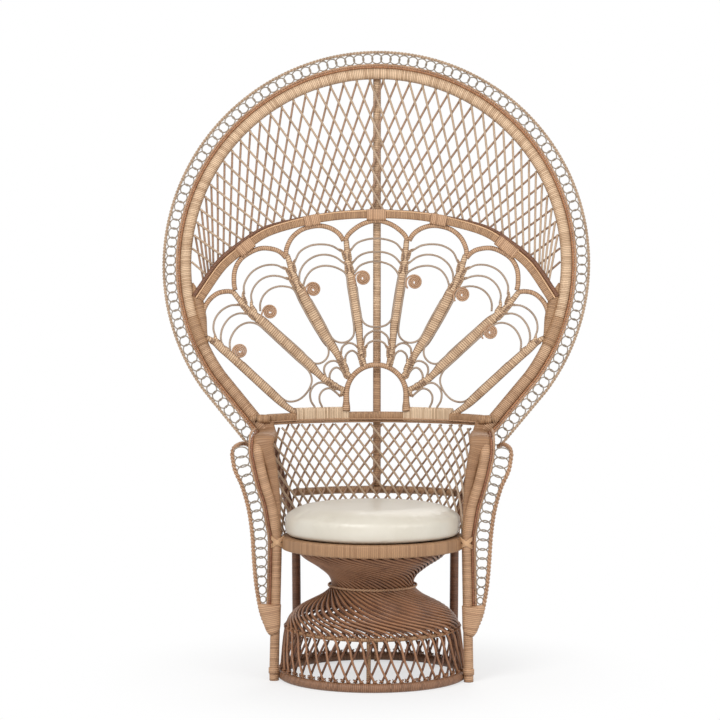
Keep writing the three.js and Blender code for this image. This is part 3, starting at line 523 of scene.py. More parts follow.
# Down a strand: share of the seat's underside height, share of the base's radius, degrees turned
DRUM_STATIONS = [(0.945, 0.765, 25), (0.868, 0.6, 60), (0.784, 0.466, 95), (0.7125, 0.4425, 117),
                 (0.64, 0.53, 144), (0.52, 0.83, 182)]
STRAND_TOP, STRAND_TOP_R = 314.2, 187.0
KNEE_Z, KNEE_R, FOOT_Z = 66.0, 213.5, 20.6
TURN_MM = 3.0    # what a degree of turn counts for where a strand's curve is drawn
CROSS_R, CROSS_Z, CROSS_BULGE, CROSS_POINTS = BASE_R - 2 * STRAND - 1, 20.4, 4.0, 8
LINING_IN, LINING_IN_LOW, LINING_POLE = 4.0, 5.5, STRAND * 1.05
TIE_Z, STUD_POLE = 25.0, 5.0


def drum_strand(start):
    """A strand from the seat to the floor that begins at `start` degrees."""
    stations = [(STRAND_TOP, STRAND_TOP_R, 0)]
    stations += [(height * SEAT_UNDER, radius * BASE_R, turn) for height, radius, turn in DRUM_STATIONS]
    stations += [(MID_Z + MID_POLE, MID_STRAND_R, MID_TURN), (KNEE_Z, KNEE_R, MID_TURN + DRUM_LEAN * 0.5),
                 (FOOT_Z, BASE_R, MID_TURN + DRUM_LEAN)]
    z, r, a = spline(np.array(stations, float) * [1, 1, TURN_MM], 14.0).T
    return polar(r, np.radians(a / TURN_MM + start), z)


def cross_strand(start):
    r = np.linspace(CROSS_R, MID_R + 0.6, CROSS_POINTS)
    r = r + CROSS_BULGE * np.sin(np.linspace(0, math.pi, CROSS_POINTS))
    z = np.linspace(CROSS_Z, MID_Z - MID_POLE - STRAND, CROSS_POINTS)
    return polar(r, np.radians(start + np.linspace(0, DRUM_LEAN, CROSS_POINTS)), z)


def tie_ring(build, deg, radius, z, radial, along, tilt, cane):
    """A slanting tie round a strand where it meets a hoop."""
    a = turns(14)
    out = polar(1, rad(deg), 0)
    side = np.array([-math.sin(rad(deg)), math.cos(rad(deg)), 0])
    line = (out * radius + [0, 0, z] + np.cos(a)[:, None] * out * radial
            + np.sin(a)[:, None] * (side * along + np.array([0, 0, tilt * along])))
    build.tube(line, cane, 6, closed=True)


def drum():
    pole("base_hoop_wrapped", WRAP_BASE_SHADED, ["base_hoop"], circle(BASE_R, 10.8, 200), BASE_POLE * 0.97, 16,
         closed=True)
    starts = np.arange(DRUM_STRANDS) * 360 / DRUM_STRANDS
    main, crossing, lining = Build(), Build(), Build()
    for start in starts:
        main.tube(drum_strand(start), STRAND)
        crossing.tube(cross_strand(start), STRAND)
    main.piece("drum_twist_strands", CANE_DRUM, ["drum_strands_main"])
    crossing.piece("drum_cross_strands", CANE_DRUM_SHADED, ["drum_strands_cross"])
    # A second, darker layer of strands just inside the drum: painted shade of the drum's inside
    for start in (np.arange(DRUM_STRANDS) + 0.5) * 360 / DRUM_STRANDS:
        strand = drum_strand(start)
        inward = np.where(strand[:, 2] > WAIST_Z, LINING_IN, LINING_IN_LOW)[:, None]
        part = (strand - unit(strand * [1, 1, 0]) * inward)[strand[:, 2] > MID_Z + 3]
        lining.tube(part[3:], LINING_POLE, 7)
    lining.piece("drum_lining_shade_strands", CANE_DRUM_SHADED)
    pole("drum_mid_hoop_cane", WRAP_TAN, ["drum_mid_hoop"], circle(MID_R, MID_Z, 160), MID_POLE * 1.25, 10,
         "dark_rattan", closed=True)
    knots, foot = Build(), Build()
    for start in starts:
        for tilt in (-1.0, 0.9):
            tie_ring(knots, start + MID_TURN - 0.3 * tilt, (MID_R + MID_STRAND_R + STRAND) / 2, MID_Z + 3.5,
                     7.2, 4.4, tilt, 1.3)
        for tilt in (-0.7, 0.7):
            tie_ring(foot, start + MID_TURN + DRUM_LEAN, BASE_R - 0.4, TIE_Z, 4.6, 4.6, tilt, 1.2)
            tie_ring(foot, start, CROSS_R, TIE_Z, 4.4, 4.4, tilt, 1.2)
    knots.piece("drum_mid_ties", CANE_DRUM)
    foot.piece("drum_foot_ties", CANE_DRUM)
    waist = circle(WAIST_R + 0.6, WAIST_Z, 120)
    twist("drum_waist_twist", TWIST, ["drum_waist_ring"], np.concatenate([waist, waist[:1]]), 1.9, 1.5, 16.0,
          closed=True, depth=UPWARD)
    for name, y in (("front", -1), ("rear", 1)):
        low_y, high_y = (y * (r - STUD_POLE - GAP) for r in (BASE_R - BASE_POLE, MID_R - MID_POLE))
        line = np.array([[0, low_y, 0], [0, low_y, 20], [0, high_y, 123]])
        pole(f"drum_stud_{name}_pole", WRAP_TAN, [f"drum_stud_{name}"], spline(line, 8), STUD_POLE, 10,
             "dark_rattan")


# Seat ring, deck and cushion

DECK_R, DECK_Z, DECK_PITCH, DECK_STEP, DECK_WAVE = 188.0, 322, 9.0, 4.5, 1.5
DECK_STRIP, DECK_THIN, DECK_SHORT = 3.9, 0.3, 20


def seat():
    line = circle(SEAT_R - RIM_WIDTH / 2, (SEAT_TOP + SEAT_UNDER) / 2, 240)
    beam("seat_rim_wrapped", RIM, ["seat_ring"], line, round_box(RIM_WIDTH, SEAT_TOP - SEAT_UNDER, 5.0),
         closed=True, depth=UPWARD)
    deck = Build()
    for k, s in enumerate(np.arange(-180, 181, DECK_PITCH)):
        half = math.sqrt(max(DECK_R ** 2 - s * s, 0))
        if half < DECK_SHORT:
            continue
        t = np.arange(-half, half + 1, DECK_STEP)
        for lane in (0, 1):
            lift = DECK_WAVE * np.cos(t / DECK_PITCH * math.pi + (k + lane) * math.pi)
            line = np.stack([t, np.full_like(t, s), DECK_Z + lift], -1)
            if lane:
                line = line[:, [1, 0, 2]]
            deck.tube(line, DECK_STRIP, 6, depth=UPWARD, squash=DECK_THIN)
    deck.piece("seat_deck_weave", CANE_BROWN, ["seat_deck"], slot="cane")


CUSHION_R, CUSHION_H, CUSHION_POINTS = 211.5, 73.0, 96
# Radius and height of the cushion's outline, from the middle of its underside to the middle of its crown
CUSHION_OUTLINE = [(0, 1), (120, 0.6), (190, 0), (203, 1.5), (208.8, 7), (210.8, 15), (211.4, 26),
                   (211.5, 38), (211.5, 42.5), (209.8, 45.6), (205.5, 49), (198, 53.5), (187, 58.8),
                   (172, 64), (150, 68.4), (115, 71.3), (60, 72.7), (0, 73)]
CLOTH_FRAMES, CLOTH_PRESSURE, CLOTH_MOVE, CLOTH_VOXEL = 16, 4.0, 0.0035, 0.006


def leatherette():
    m, tree, shader = surface("cream_leatherette", 0.34)
    place = node(tree, "ShaderNodeTexCoord").outputs["Object"]
    grain = node(tree, "ShaderNodeTexVoronoi", Vector=place, Scale=620.0, _feature="DISTANCE_TO_EDGE")
    cells = maths("MINIMUM", times(grain.outputs[0], 4.0), 1.0)
    soft = noise(tree, place, 9.0, 3.0, 0.55)
    creases = noise(tree, place, 34.0, 4.0, 0.6)
    colour = ramp(soft, [(0.3, srgb((206, 199, 184))), (0.7, srgb((216, 210, 197)))])
    height = add(times(cells, 0.06), times(creases, 0.9))
    dress(shader, colour, height, 0.35, 0.0012, add(0.3, times(soft, 0.12)))
    shader.inputs["Coat Weight"].default_value = 0.15
    shader.inputs["Coat Roughness"].default_value = 0.25
    return m


def cushion():
    build = Build()
    profile = spline(CUSHION_OUTLINE, 7.0)[1:-1]
    rings = np.array([circle(r, SEAT_TOP + 0.4 + z, CUSHION_POINTS) for r, z in profile])[:, ::-1]
    build.grid(rings, np.arange(len(rings)) * 0.007, np.linspace(0, 1, CUSHION_POINTS + 1))
    obj = build.piece("cushion_padded", leatherette(), ["cushion"], body="cushion", slot="leatherette")
    remesh = obj.modifiers.new("Remesh", "REMESH")
    remesh.mode = "VOXEL"
    remesh.voxel_size = CLOTH_VOXEL
    apply(obj)
    settle(obj)
    smooth = obj.modifiers.new("Subdivide", "SUBSURF")
    smooth.levels = smooth.render_levels = 1
    apply(obj)
    obj.data.polygons.foreach_set("use_smooth", [True] * len(obj.data.polygons))


def apply(obj):
    """Makes what the modifiers give the object's own mesh."""
    depsgraph = bpy.context.evaluated_depsgraph_get()
    mesh = bpy.data.meshes.new_from_object(obj.evaluated_get(depsgraph))
    obj.modifiers.clear()
    old = obj.data
    obj.data = mesh
    if not mesh.materials:
        mesh.materials.append(old.materials[0])


def vertex_places(mesh):
    found = np.empty(len(mesh.vertices) * 3)
    mesh.vertices.foreach_get("co", found)
    return found.reshape(-1, 3)


def settle(obj):
    """Blows the cover up a little as cloth, keeps its underside flat, and caps the move."""
    scene = bpy.context.scene
    start = vertex_places(obj.data)
    cloth = obj.modifiers.new("Cloth", "CLOTH")
    cloth.settings.use_pressure = True
    cloth.settings.uniform_pressure_force = CLOTH_PRESSURE
    cloth.settings.effector_weights.gravity = 0.0
    cloth.settings.quality = 5
    cloth.point_cache.frame_start, cloth.point_cache.frame_end = 1, CLOTH_FRAMES
    for f in range(1, CLOTH_FRAMES + 1):
        scene.frame_set(f)
    end = vertex_places(obj.evaluated_get(bpy.context.evaluated_depsgraph_get()).data)
    obj.modifiers.clear()
    scene.frame_set(1)
    move = end - start
    length = np.linalg.norm(move, axis=1, keepdims=True)
    final = start + move * np.minimum(1, CLOTH_MOVE / np.maximum(length, 1e-9))
    bottom = (SEAT_TOP + 0.5) / 1000
    final[:, 2] = np.clip(final[:, 2], bottom, bottom + CUSHION_H / 1000)
    middle = SHIFT[:2]
    reach = np.linalg.norm(final[:, :2] - middle, axis=1, keepdims=True)
    share = np.minimum(1, (CUSHION_R + 0.5) / 1000 / np.maximum(reach, 1e-6))
    final[:, :2] = middle + (final[:, :2] - middle) * share
    obj.data.vertices.foreach_set("co", final.astype(np.float32).ravel())
    obj.data.update()


# Fan: hoop and border

TRIM_POLE, TRIM_CORE, TRIM_STRAND, TRIM_SPREAD = 3.4, 2.4, 1.7, 1.6
LOOP_LIFT, LOOP_POINTS = 1.35, 22
HOOP_CUFF = np.array([0.4] + [1.7] * 12 + [0.4])    # how much thicker than the hoop, from end to end


def ring_chain(build, line, reach_at, spread, pitch, cane, depth_at, flip=1):
    """Rings that overlap their neighbours along a line of (x, z) places, each leaning on the next."""
    p = resample(line, 1.5)
    d = lengths(p)
    tangent = unit(np.gradient(p, axis=0))
    count = round(d[-1] / pitch)
    turn = turns(LOOP_POINTS)
    for k in range(count):
        share = (k + 0.5) / count
        mid, t = (np.array([np.interp(share * d[-1], d, q[:, j]) for j in range(2)]) for q in (p, tangent))
        out = np.array([-t[1], t[0]])
        reach = float(reach_at(share))
        wobble = 1 + 0.03 * math.sin(k * 2.3)
        flat = (mid + t * (min(spread, reach * 1.06) * wobble * np.cos(turn))[:, None]
                + out * (reach * np.sin(turn))[:, None])
        loop = np.stack([flat[:, 0], depth_at(flat[:, 1]) + LOOP_LIFT * np.cos(turn), flat[:, 1]], -1)
        build.tube(loop * [flip, 1, 1], cane, 6, closed=True)


def fan():
    pole("fan_hoop_wrapped", WRAP, ["fan_hoop"], standing(hoop_line(0)), FAN_POLE, 18, depth=FORWARD)
    pole("fan_trim_wrapped", WRAP_TRIM, ["fan_trim_pole"], standing(hoop_line(TRIM_OUT)), TRIM_POLE, 8,
         "dark_rattan")
    twist("fan_trim_twist", TWIST, ["fan_trim_cane"], standing(hoop_line(INNER_OUT)), TRIM_STRAND,
          TRIM_SPREAD, 13.0, TRIM_CORE, depth=FORWARD)
    twist("fan_outer_twist", CANE, ["fan_outer_cane"], standing(hoop_line(OUTER_OUT + 0.2)), 2.2, 1.9, 17.0,
          depth=FORWARD)
    loops, cuffs = Build(), Build()
    middle = (INNER_OUT + 3.3 + OUTER_OUT - 4.2) / 2
    ring_chain(loops, hoop_line(middle), lambda share: 12.0, 13.2, 22.5, 1.6, hoop_y)
    loops.piece("fan_border_loops", CANE_LOOP, ["fan_loops"], slot="cane")
    for side, _ in SIDES:
        z = np.linspace(782, 852, len(HOOP_CUFF))
        cuffs.tube(standing(np.stack([side * half_width(z), z], -1)), FAN_POLE + HOOP_CUFF, 18, depth=FORWARD)
    cuffs.piece("fan_hoop_cuffs", WRAP_TAN)


# Front posts and arms

POST_FLAT = POST_SOLID * FLAT
POST_SEAT_Y = -math.sqrt((SEAT_R + POST_SOLID - GAP) ** 2 - POST_SEAT_X ** 2)
POST_FOOT_Y = -math.sqrt((BASE_R + BASE_POLE * FLAT + POST_FLAT - GAP) ** 2 - POST_FOOT_X ** 2)
# The post from the seat up and over the arm, and the arm's outer cane as X and Z, both on the right side
ARM_PLACES = [(227.8, -52.2, 363.5), (236.3, -55.8, 413), (250.3, -60, 460), (261.3, -61.8, 504.5),
              (267.5, -58.8, 540.5), (268.5, -42, 561), (265.5, -12, 567.5), (259, 36, 568.5)]
RIM_PLACES = [(244.4, 119.9), (257.9, 152.5), (266.5, 191.9), (272.7, 234.1), (277, 285.5), (280.8, 342.6),
              (289.4, 403.1), (305.6, 459.1), (322.4, 496.8), (328, 533.9)]
# Rows of wrapped bands on the left side: middle X, Y, Z, half width, half thickness
PANEL = [(-218, -46, 337, 5.5, 6), (-220, -47, 362, 6.2, 6), (-223, -48, 401, 8, 6.5),
         (-226.5, -49, 434, 10.5, 7), (-231.5, -50, 470, 12.5, 7.5), (-238, -51, 506, 15, 8),
         (-246.5, -53, 532, 19, 8.5), (-252.5, -55, 549, 23, 9), (-254, -53, 561, 25, 9.5),
         (-254, -44, 569, 25.5, 9.5), (-254, -28, 571.5, 25, 9), (-254, 5, 571.5, 24, 9),
         (-254.5, 40, 572, 23, 9.5), (-255.5, 70, 574, 21, 10), (-256, 86, 576, 18, 9)]
JUNCTION = [(-256, 84, 553, 21, 9), (-256, 83, 566, 21.5, 12), (-255.5, 85, 581, 17, 12),
            (-255, 87, 592, 13, 11), (-255, 88, 600, 11, 10)]
CUFF = [(-228.2, -64.5, 110, 12.6, 12.4), (-231.2, -64.2, 120, 17.2, 13.2),
        (-235.2, -63.2, 145, 22.0, 13.4), (-239.2, -62.2, 168, 26.6, 13.2),
        (-240.0, -62, 176, 27.2, 12.6), (-240.0, -62, 177, 24, 10)]
BAR_END = [(-252, 80, 606.5, 10.6, 10.6), (-272, 79, 606.5, 10.8, 10.6), (-286, 78, 607, 10, 9.6),
           (-294, 80, 607.5, 7.5, 7), (-299, 84, 608, 3.5, 4)]
# The right outer cane's turn back over the arm: X, Y, Z
RIM_TURN = [(325.5, -52, 545), (316, -18, 552), (307.5, 30, 550)]
# Where the trim pole turns back over the arm: X from the pole's last place, Y, Z
TRIM_TURN = [(-1.5, -52, 566), (-3, -30, 575), (-4, 10, 577), (-5, 55, 577)]
BAND_POWER = 0.8                # below 1, a band's section is squarer than an oval
CUFF_TOP, TRIM_GAP, INNER_GAP = 168, 3.0, 8.6
ARM_LOOP, ARM_LOOP_GAP, ARM_LOOP_FOOT, ARM_LOOP_EDGE = 13.0, 17, 180, 6.4
LASH_X, LASH_Y, LASH_CANE = 15.2, 14.6, 1.35


def post_line():
    points = [(POST_FOOT_X, POST_FOOT_Y, 0), (POST_FOOT_X, POST_FOOT_Y, 22),
              (POST_SEAT_X - 1.2, POST_SEAT_Y, SEAT_UNDER), (POST_SEAT_X - 1.2, POST_SEAT_Y, SEAT_TOP)]
    points += ARM_PLACES
    points.append((TAIL_END_X, hoop_y(TAIL_END) - FAN_POLE - 0.4, TAIL_END))
    return np.array(points, float)


def band(name, material, rows, sides=16):
    """A wrapped band as a piece, from rows of middle X, Y, Z, half width and half thickness."""
    dense = spline(rows, 5.0)
    section = ring(sides)
    section = np.sign(section) * np.abs(section) ** BAND_POWER
    line = dense[:, :3]
    beam(name, material, [], line, section[None] * dense[:, None, 3:5], depth=band_depth(line))


def band_depth(p):
    """The band's thin direction: outward on the upright part, upward on the part that lies flat."""
    return unit(np.cross(unit(np.gradient(p, axis=0)), [1.0, 0, 0]))


def arm_lines():
    """The right arm's trim pole, inner cane and outer cane, then its loops' middles and reach."""
    curve = spline(post_line()[1:10], 3.0)
    along = unit(np.gradient(curve, axis=0))
    out = unit(np.stack([along[:, 2], np.zeros(len(curve)), -along[:, 0]], -1))
    first = int(np.argmax(curve[:, 2] > CUFF_TOP))
    beside = [(curve + out * (POST + gap))[first:] for gap in (TRIM_GAP, INNER_GAP)]
    lines = []
    for line, outward in zip(beside, (TRIM_OUT, INNER_OUT)):
        end = hoop_line(outward)[-1]
        turn_back = [[line[-1, 0] + x, y, z + outward - TRIM_OUT] for x, y, z in TRIM_TURN]
        whole = line[:-4:8].tolist() + turn_back + [[end[0], hoop_y(TAIL_END) - 2, end[1] + 4]]
        lines.append(spline(whole, 4.0))
    flat = spline(RIM_PLACES, 3.0)
    rim = np.stack([flat[:, 0], np.full(len(flat), ARM_Y), flat[:, 1]], -1)
    tail = hoop_line(OUTER_OUT)[-1]
    lines.append(spline(rim[::6].tolist() + RIM_TURN + [[tail[0], hoop_y(TAIL_END) - 9, tail[1] + 3]], 4.0))
    middle, reach = [], []
    for p in resample(beside[1][:, [0, 2]], 6.0):
        q = flat[np.argmin(np.linalg.norm(flat - p, axis=1))]
        gap = np.linalg.norm(q - p)
        if gap > ARM_LOOP_GAP and p[1] > ARM_LOOP_FOOT:
            middle.append((p + q) / 2)
            reach.append((gap - ARM_LOOP_EDGE) / 2)
    return *lines, np.array(middle), np.array(reach)


def arms():
    line = spline(post_line(), 7.0)
    trim, inner, outer, middle, reach = arm_lines()
    stops = np.linspace(0, 1, len(reach))
    foot = spline([[POST_FOOT_X, POST_FOOT_Y, 17], [POST_FOOT_X, POST_FOOT_Y, 30]], 4)
    centre = np.array([POST_SEAT_X - 2.5, POST_SEAT_Y + 1.5, (SEAT_TOP + SEAT_UNDER) / 2 + 3])
    a = turns(28)
    for side, name in SIDES:
        flip = [side, 1, 1]
        turned = [-side, 1, 1, 1, 1]
        post, loops, lash = Build(), Build(), Build()
        post.tube(line * flip, POST, 16)
        post.tube(foot * flip, POST + 1.9, 16)
        post.piece(f"front_post_{name}_wrapped", WRAP_POST, [f"front_post_{name}"])
        pole(f"arm_trim_{name}_pole", WRAP_RED, [f"arm_trim_pole_{name}"], trim * flip, 3.1, 8, "dark_rattan")
        twist(f"arm_inner_{name}_twist", TWIST, [], inner * flip, TRIM_STRAND, TRIM_SPREAD, 12.0, TRIM_CORE)
        twist(f"arm_outer_{name}_twist", TWIST, [f"arm_outer_cane_{name}"], outer * flip, 2.9, 2.6, 18.0,
              depth=FORWARD)
        ring_chain(loops, middle, lambda share: np.interp(share, stops, reach), ARM_LOOP, 21.5, 1.65,
                   lambda z: np.full(np.shape(z), ARM_Y), side)
        loops.piece(f"arm_loops_{name}_rings", CANE_LOOP, [f"arm_loops_{name}"], slot="cane")
        band(f"arm_panel_{name}", WRAP_PANEL, np.array(PANEL) * turned)
        band(f"arm_junction_{name}", WRAP_PANEL, np.array(JUNCTION) * turned)
        band(f"bar_end_{name}", WRAP_TAN, np.array(BAR_END) * turned)
        band(f"arm_cuff_{name}", WRAP_POST, np.array(CUFF) * turned, 20)
        for tilt in (-34, 34):
            for shift in (-3.4, 0, 3.4):
                x = LASH_X * np.cos(a)
                wrap = np.stack([x, LASH_Y * np.sin(a), x * math.tan(rad(tilt)) + shift], -1)
                lash.tube((centre + wrap) * flip, LASH_CANE, 6, closed=True)
        lash.piece(f"seat_lashing_{name}", CANE_PALE_AND_HIGHLIGHT)


# Tub lattice, rail, rear legs

TUB_LAYER = STRAND * 2 + 2.8
TUB_R, TUB_Z = SEAT_R + 2, SEAT_TOP - 1.5
BAR_HALF = float(half_width(BAR_Z)) - FAN_POLE - 12
BAR_R = (BAR_HALF ** 2 + HOLLOW ** 2) / (2 * HOLLOW)
BAR_Y = float(hoop_y(BAR_Z)) + HOLLOW - BAR_R
BAR_ANGLE = math.degrees(math.asin(BAR_HALF / BAR_R))
TUB_BAR_Z = BAR_Z - BAR_SIZE / 2 - GAP - 7 - STRAND + 0.6
TUB_ARM_Z = ARM_Z - POST_SOLID - GAP - STRAND - 2.2
TUB_SHIFT, TUB_STRANDS, TUB_SHORT = 0.23, 28, 0.12
TUB_FRONT = math.degrees(math.asin(30 / TUB_R))
LEG_SHARE, RAIL_POINTS = 0.225, 60


def bar_point(deg, out, z):
    a = np.radians(deg)
    r = BAR_R + out
    return np.stack(np.broadcast_arrays(r * np.sin(a), BAR_Y + r * np.cos(a), z), -1)


ARM_TUB = np.array([(-x * ARM_X, y * ARM_Y, z * TUB_ARM_Z) for x, y, z in
                    ((0.985, 0.5, 0.992), (0.965, -0.33, 1), (0.935, -1.1, 1.006), (0.893, -1.65, 1.03))])
BAR_TUB = bar_point(np.linspace(-0.8 * BAR_ANGLE, 0.8 * BAR_ANGLE, 9), -TUB_LAYER, TUB_BAR_Z)
TUB_RIM = resample(spline(np.concatenate([ARM_TUB, BAR_TUB, ARM_TUB[::-1] * [-1, 1, 1]])), 2.0)


def at_share(line, share):
    """Places at a share of a line, counted in its points."""
    s = np.asarray(share, float) * (len(line) - 1)
    return np.stack([np.interp(s, np.arange(len(line)), line[:, k]) for k in range(line.shape[1])], -1)


def tub_point(u, v, out=0.0):
    """A place `u` of the way round the seat and `v` of the way up to the rim, `out` mm outward."""
    u, v = np.asarray(u, float), np.asarray(v, float)[..., None]
    bottom = polar(TUB_R, np.radians(180 + TUB_FRONT - u * (180 + 2 * TUB_FRONT)), TUB_Z)
    p = bottom + (at_share(TUB_RIM, np.clip(u, 0, 1)) - bottom) * v
    return p + unit(p * [1, 1, 0]) * out


def tub():
    inner, outer = Build(), Build()
    pitch = 1 / TUB_STRANDS
    start = pitch * 0.5 - math.floor(TUB_SHIFT / pitch) * pitch
    while start < 1:
        top, foot = min(1, 1 + start / TUB_SHIFT), max(0, 1 - (1 - start) / TUB_SHIFT)
        if top - foot > TUB_SHORT:
            v = np.linspace(top, foot, 14)
            u = start + TUB_SHIFT * (1 - v)
            inner.tube(tub_point(u, v), STRAND)
            outer.tube(tub_point(1 - u, v, TUB_LAYER), STRAND)
        start += pitch
    inner.piece("tub_lattice_inner_strands", CANE, ["tub_lattice_inner"])
    outer.piece("tub_lattice_outer_strands", CANE_BROWN, ["tub_lattice_outer"], slot="dark_rattan")
    behind = TUB_LAYER + STRAND - 0.2
    foot_r = BASE_R + BASE_POLE * FLAT + REAR_LEG * FLAT + GAP
    for side, name in SIDES:
        seat_x, seat_y, _ = tub_point(LEG_SHARE if side < 0 else 1 - LEG_SHARE, 0.0, behind + REAR_LEG)
        foot_x, foot_y = np.array([seat_x, seat_y]) * foot_r / np.linalg.norm([seat_x, seat_y])
        top = [side * (TAIL_END_X + REAR_LEG), hoop_y(BAR_Z) + FAN_POLE + REAR_LEG + GAP, BAR_Z]
        leg = Build()
        leg.tube(resample([[foot_x, foot_y, 0], [foot_x, foot_y, 22], [seat_x, seat_y, SEAT_TOP], top], 6.0),
                 REAR_LEG, 14)
        leg.tube(resample([[foot_x, foot_y, 12], [foot_x, foot_y, 24]], 4.0), REAR_LEG + 1.4, 14)
        leg.piece(f"rear_leg_{name}_wrapped", WRAP_DARK, [f"rear_leg_{name}"], slot="dark_rattan")
    level = (RAIL_Z - TUB_Z) / (TUB_BAR_Z - TUB_Z)
    u = np.linspace(LEG_SHARE + 0.012, 1 - LEG_SHARE - 0.012, RAIL_POINTS)
    line = tub_point(u, np.full(RAIL_POINTS, level), behind + RAIL)
    line[:, 2] = RAIL_Z
    pole("tub_rail_wrapped", WRAP_TAN, ["tub_rear_rail"], line, RAIL, 12, "dark_rattan")


# Crossbar, centre post, arch

BAR_BACK, BLOCK_BACK = -3.8, -4.4
BLOCK_SPANS = ((-37.4, -12.2), (12.2, 34.8))    # degrees round the bar's middle
CENTRE_BACK = 19.5
# Shares of the fan's radius from its middle, right half
ARCH_SHARES = [(0, 0.254), (0.238, 0.241), (0.429, 0.203), (0.593, 0.148), (0.717, 0.058), (0.804, -0.019),
               (0.897, -0.155), (0.925, -0.2)]
ARCH_CUFFS = [(-24, 24), (-178, -140), (-338, -304), (134, 174), (298, 344)]    # from X to X
# Thickness of the wrapped gusset between arch and hoop, from its foot up
GUSSET = np.array([3, 5, 7.5, 10, 12, 13, 13.5, 13.5, 12.5, 10, 6, 2.0])
LATTICE_FRONT = LAYER_GAP / 2 + STRAND + GAP + SAG
ARCH_BACK = -(LATTICE_FRONT + ARCH_DEPTH / 2)


def crossbar():
    blocks, under = Build(), Build()
    reach = BAR_ANGLE - 0.66
    deg = np.linspace(-reach, reach, 90)
    beam("crossbar_wrapped", WRAP_TAN, ["crossbar"], bar_point(deg, BAR_BACK, BAR_Z),
         round_box(BAR_SIZE, BAR_SIZE, 5.5), depth=UPWARD)
    for span in BLOCK_SPANS:
        line = bar_point(np.linspace(*span, 34), BLOCK_BACK, BAR_Z + 5.2)
        blocks.sweep(line, round_box(BAR_SIZE + 2.4, 34.0, 7.5, 5), depth=UPWARD)
    blocks.piece("crossbar_blocks", BLOCK)
    under.tube(bar_point(deg, BAR_BACK, BAR_Z - BAR_SIZE / 2 - 3.6), 3.4)
    line = bar_point(deg, BAR_BACK - BAR_SIZE / 2 - 1.4, BAR_Z - BAR_SIZE / 2 + 2.5)
    twisted(under, line, 1.3, 1.1, 11.0, depth=UPWARD)
    under.piece("crossbar_under_cane", TWIST, ["crossbar_cane"], slot="dark_rattan")


def centre_post():
    top = [0, float(hoop_y(TOP_Z)) + CENTRE_BACK, TOP_Z - FAN_POLE * 0.7]
    bottom_z = RAIL_Z + RAIL + GAP
    y = float(hoop_y(BAR_Z)) + HOLLOW + CENTRE_BACK
    y += (float(hoop_y(TOP_Z)) - float(hoop_y(BAR_Z)) - HOLLOW) * ((bottom_z - BAR_Z) / (TOP_Z - BAR_Z))
    line = resample([[0, y, bottom_z], top], 8.0)
    pole("centre_post_wrapped", WRAP, ["centre_post"], line, CENTRE_POST, 14, "dark_rattan")


def shares(rows):
    """Shares of the fan's radius as places of X and Z."""
    return np.array(rows, float) * FAN_R + [0, FAN_Z]


ARCH_HALF = shares(ARCH_SHARES)
ARCH = resample(spline(np.concatenate([ARCH_HALF[:0:-1] * [-1, 1], ARCH_HALF]), 3.0), 3.0)


def arch():
    fine = resample(ARCH, 6.0)
    beam("arch_wrapped", WRAP_TAN, ["arch"], shell(fine, ARCH_BACK), round_box(ARCH_HEIGHT, ARCH_DEPTH, 3.5),
         depth=FORWARD)
    along = unit(np.gradient(fine, axis=0))
    outward = np.stack([-along[:, 1], along[:, 0]], -1)
    # A thin pale cane along the arch's upper front edge: its pale colour is painted highlight of the lit edge
    edge = shell(fine + outward * 7.8, ARCH_BACK - ARCH_DEPTH / 2 - 0.2)
    pole("arch_edge_painted_highlight", CANE_PALE_AND_HIGHLIGHT, [], edge, 1.7, 8)
    # A dark wrapped pole above the arch that thickens towards its ends: its dark colour is painted shade of
    # the arch's upper face
    thick = np.interp(np.abs(fine[:, 0]), [150, 230, 340], [1.2, 3.0, 6.0])
    upper = shell(fine + outward * (ARCH_HEIGHT / 2 - 1.4 + thick[:, None]), ARCH_BACK + 1.5)
    pole("arch_upper_shade_pole", WRAP_DARK, [], upper, thick, 12)
    cuffs = Build()
    for span in ARCH_CUFFS:
        ends = np.interp(span, ARCH[:, 0], np.linspace(0, 1, len(ARCH)))
        line = shell(at_share(ARCH, np.linspace(*ends, 10)) + [0, -1.5], ARCH_BACK - 1.2)
        cuffs.sweep(line, round_box(ARCH_HEIGHT + 6, ARCH_DEPTH + 3.0, 4), depth=FORWARD)
    cuffs.piece("arch_cuffs", WRAP_POST)
    half = at_share(ARCH, np.linspace(0.02, 0.485, 60))
    z = np.linspace(798, 935, len(GUSSET))
    width = half_width(z) - FAN_POLE - GUSSET * 0.6
    for side, name in SIDES:
        pole(f"arch_rear_bar_{name}_wrapped", WRAP_DARK, [f"arch_rear_bar_{name}"],
             shell(half * [-side, 1], LATTICE_FRONT - SAG + 0.2 + REAR_BAR), REAR_BAR, 10, "dark_rattan")
        pole(f"arch_gusset_{name}", WRAP_TAN, [], standing(np.stack([side * width, z], -1), 1.0), GUSSET, 12)


# Where strands land: degrees on the hoop, and share of the half arch from its middle
LANDINGS = [(-94.5, -0.95), (-70.3, -0.6), (-49.2, -0.33), (-23.2, 0), (24.3, 0.486), (42.7, 0.675),
            (64.3, 0.88), (88, 0.98)]
FAN_FROM, FAN_TO, FAN_PITCH = -90.3, 84, 4.2    # degrees round the hoop
FAN_SHORT, FAN_SINK = 40, -3.5                  # shortest strand, and how far one sinks into the hoop


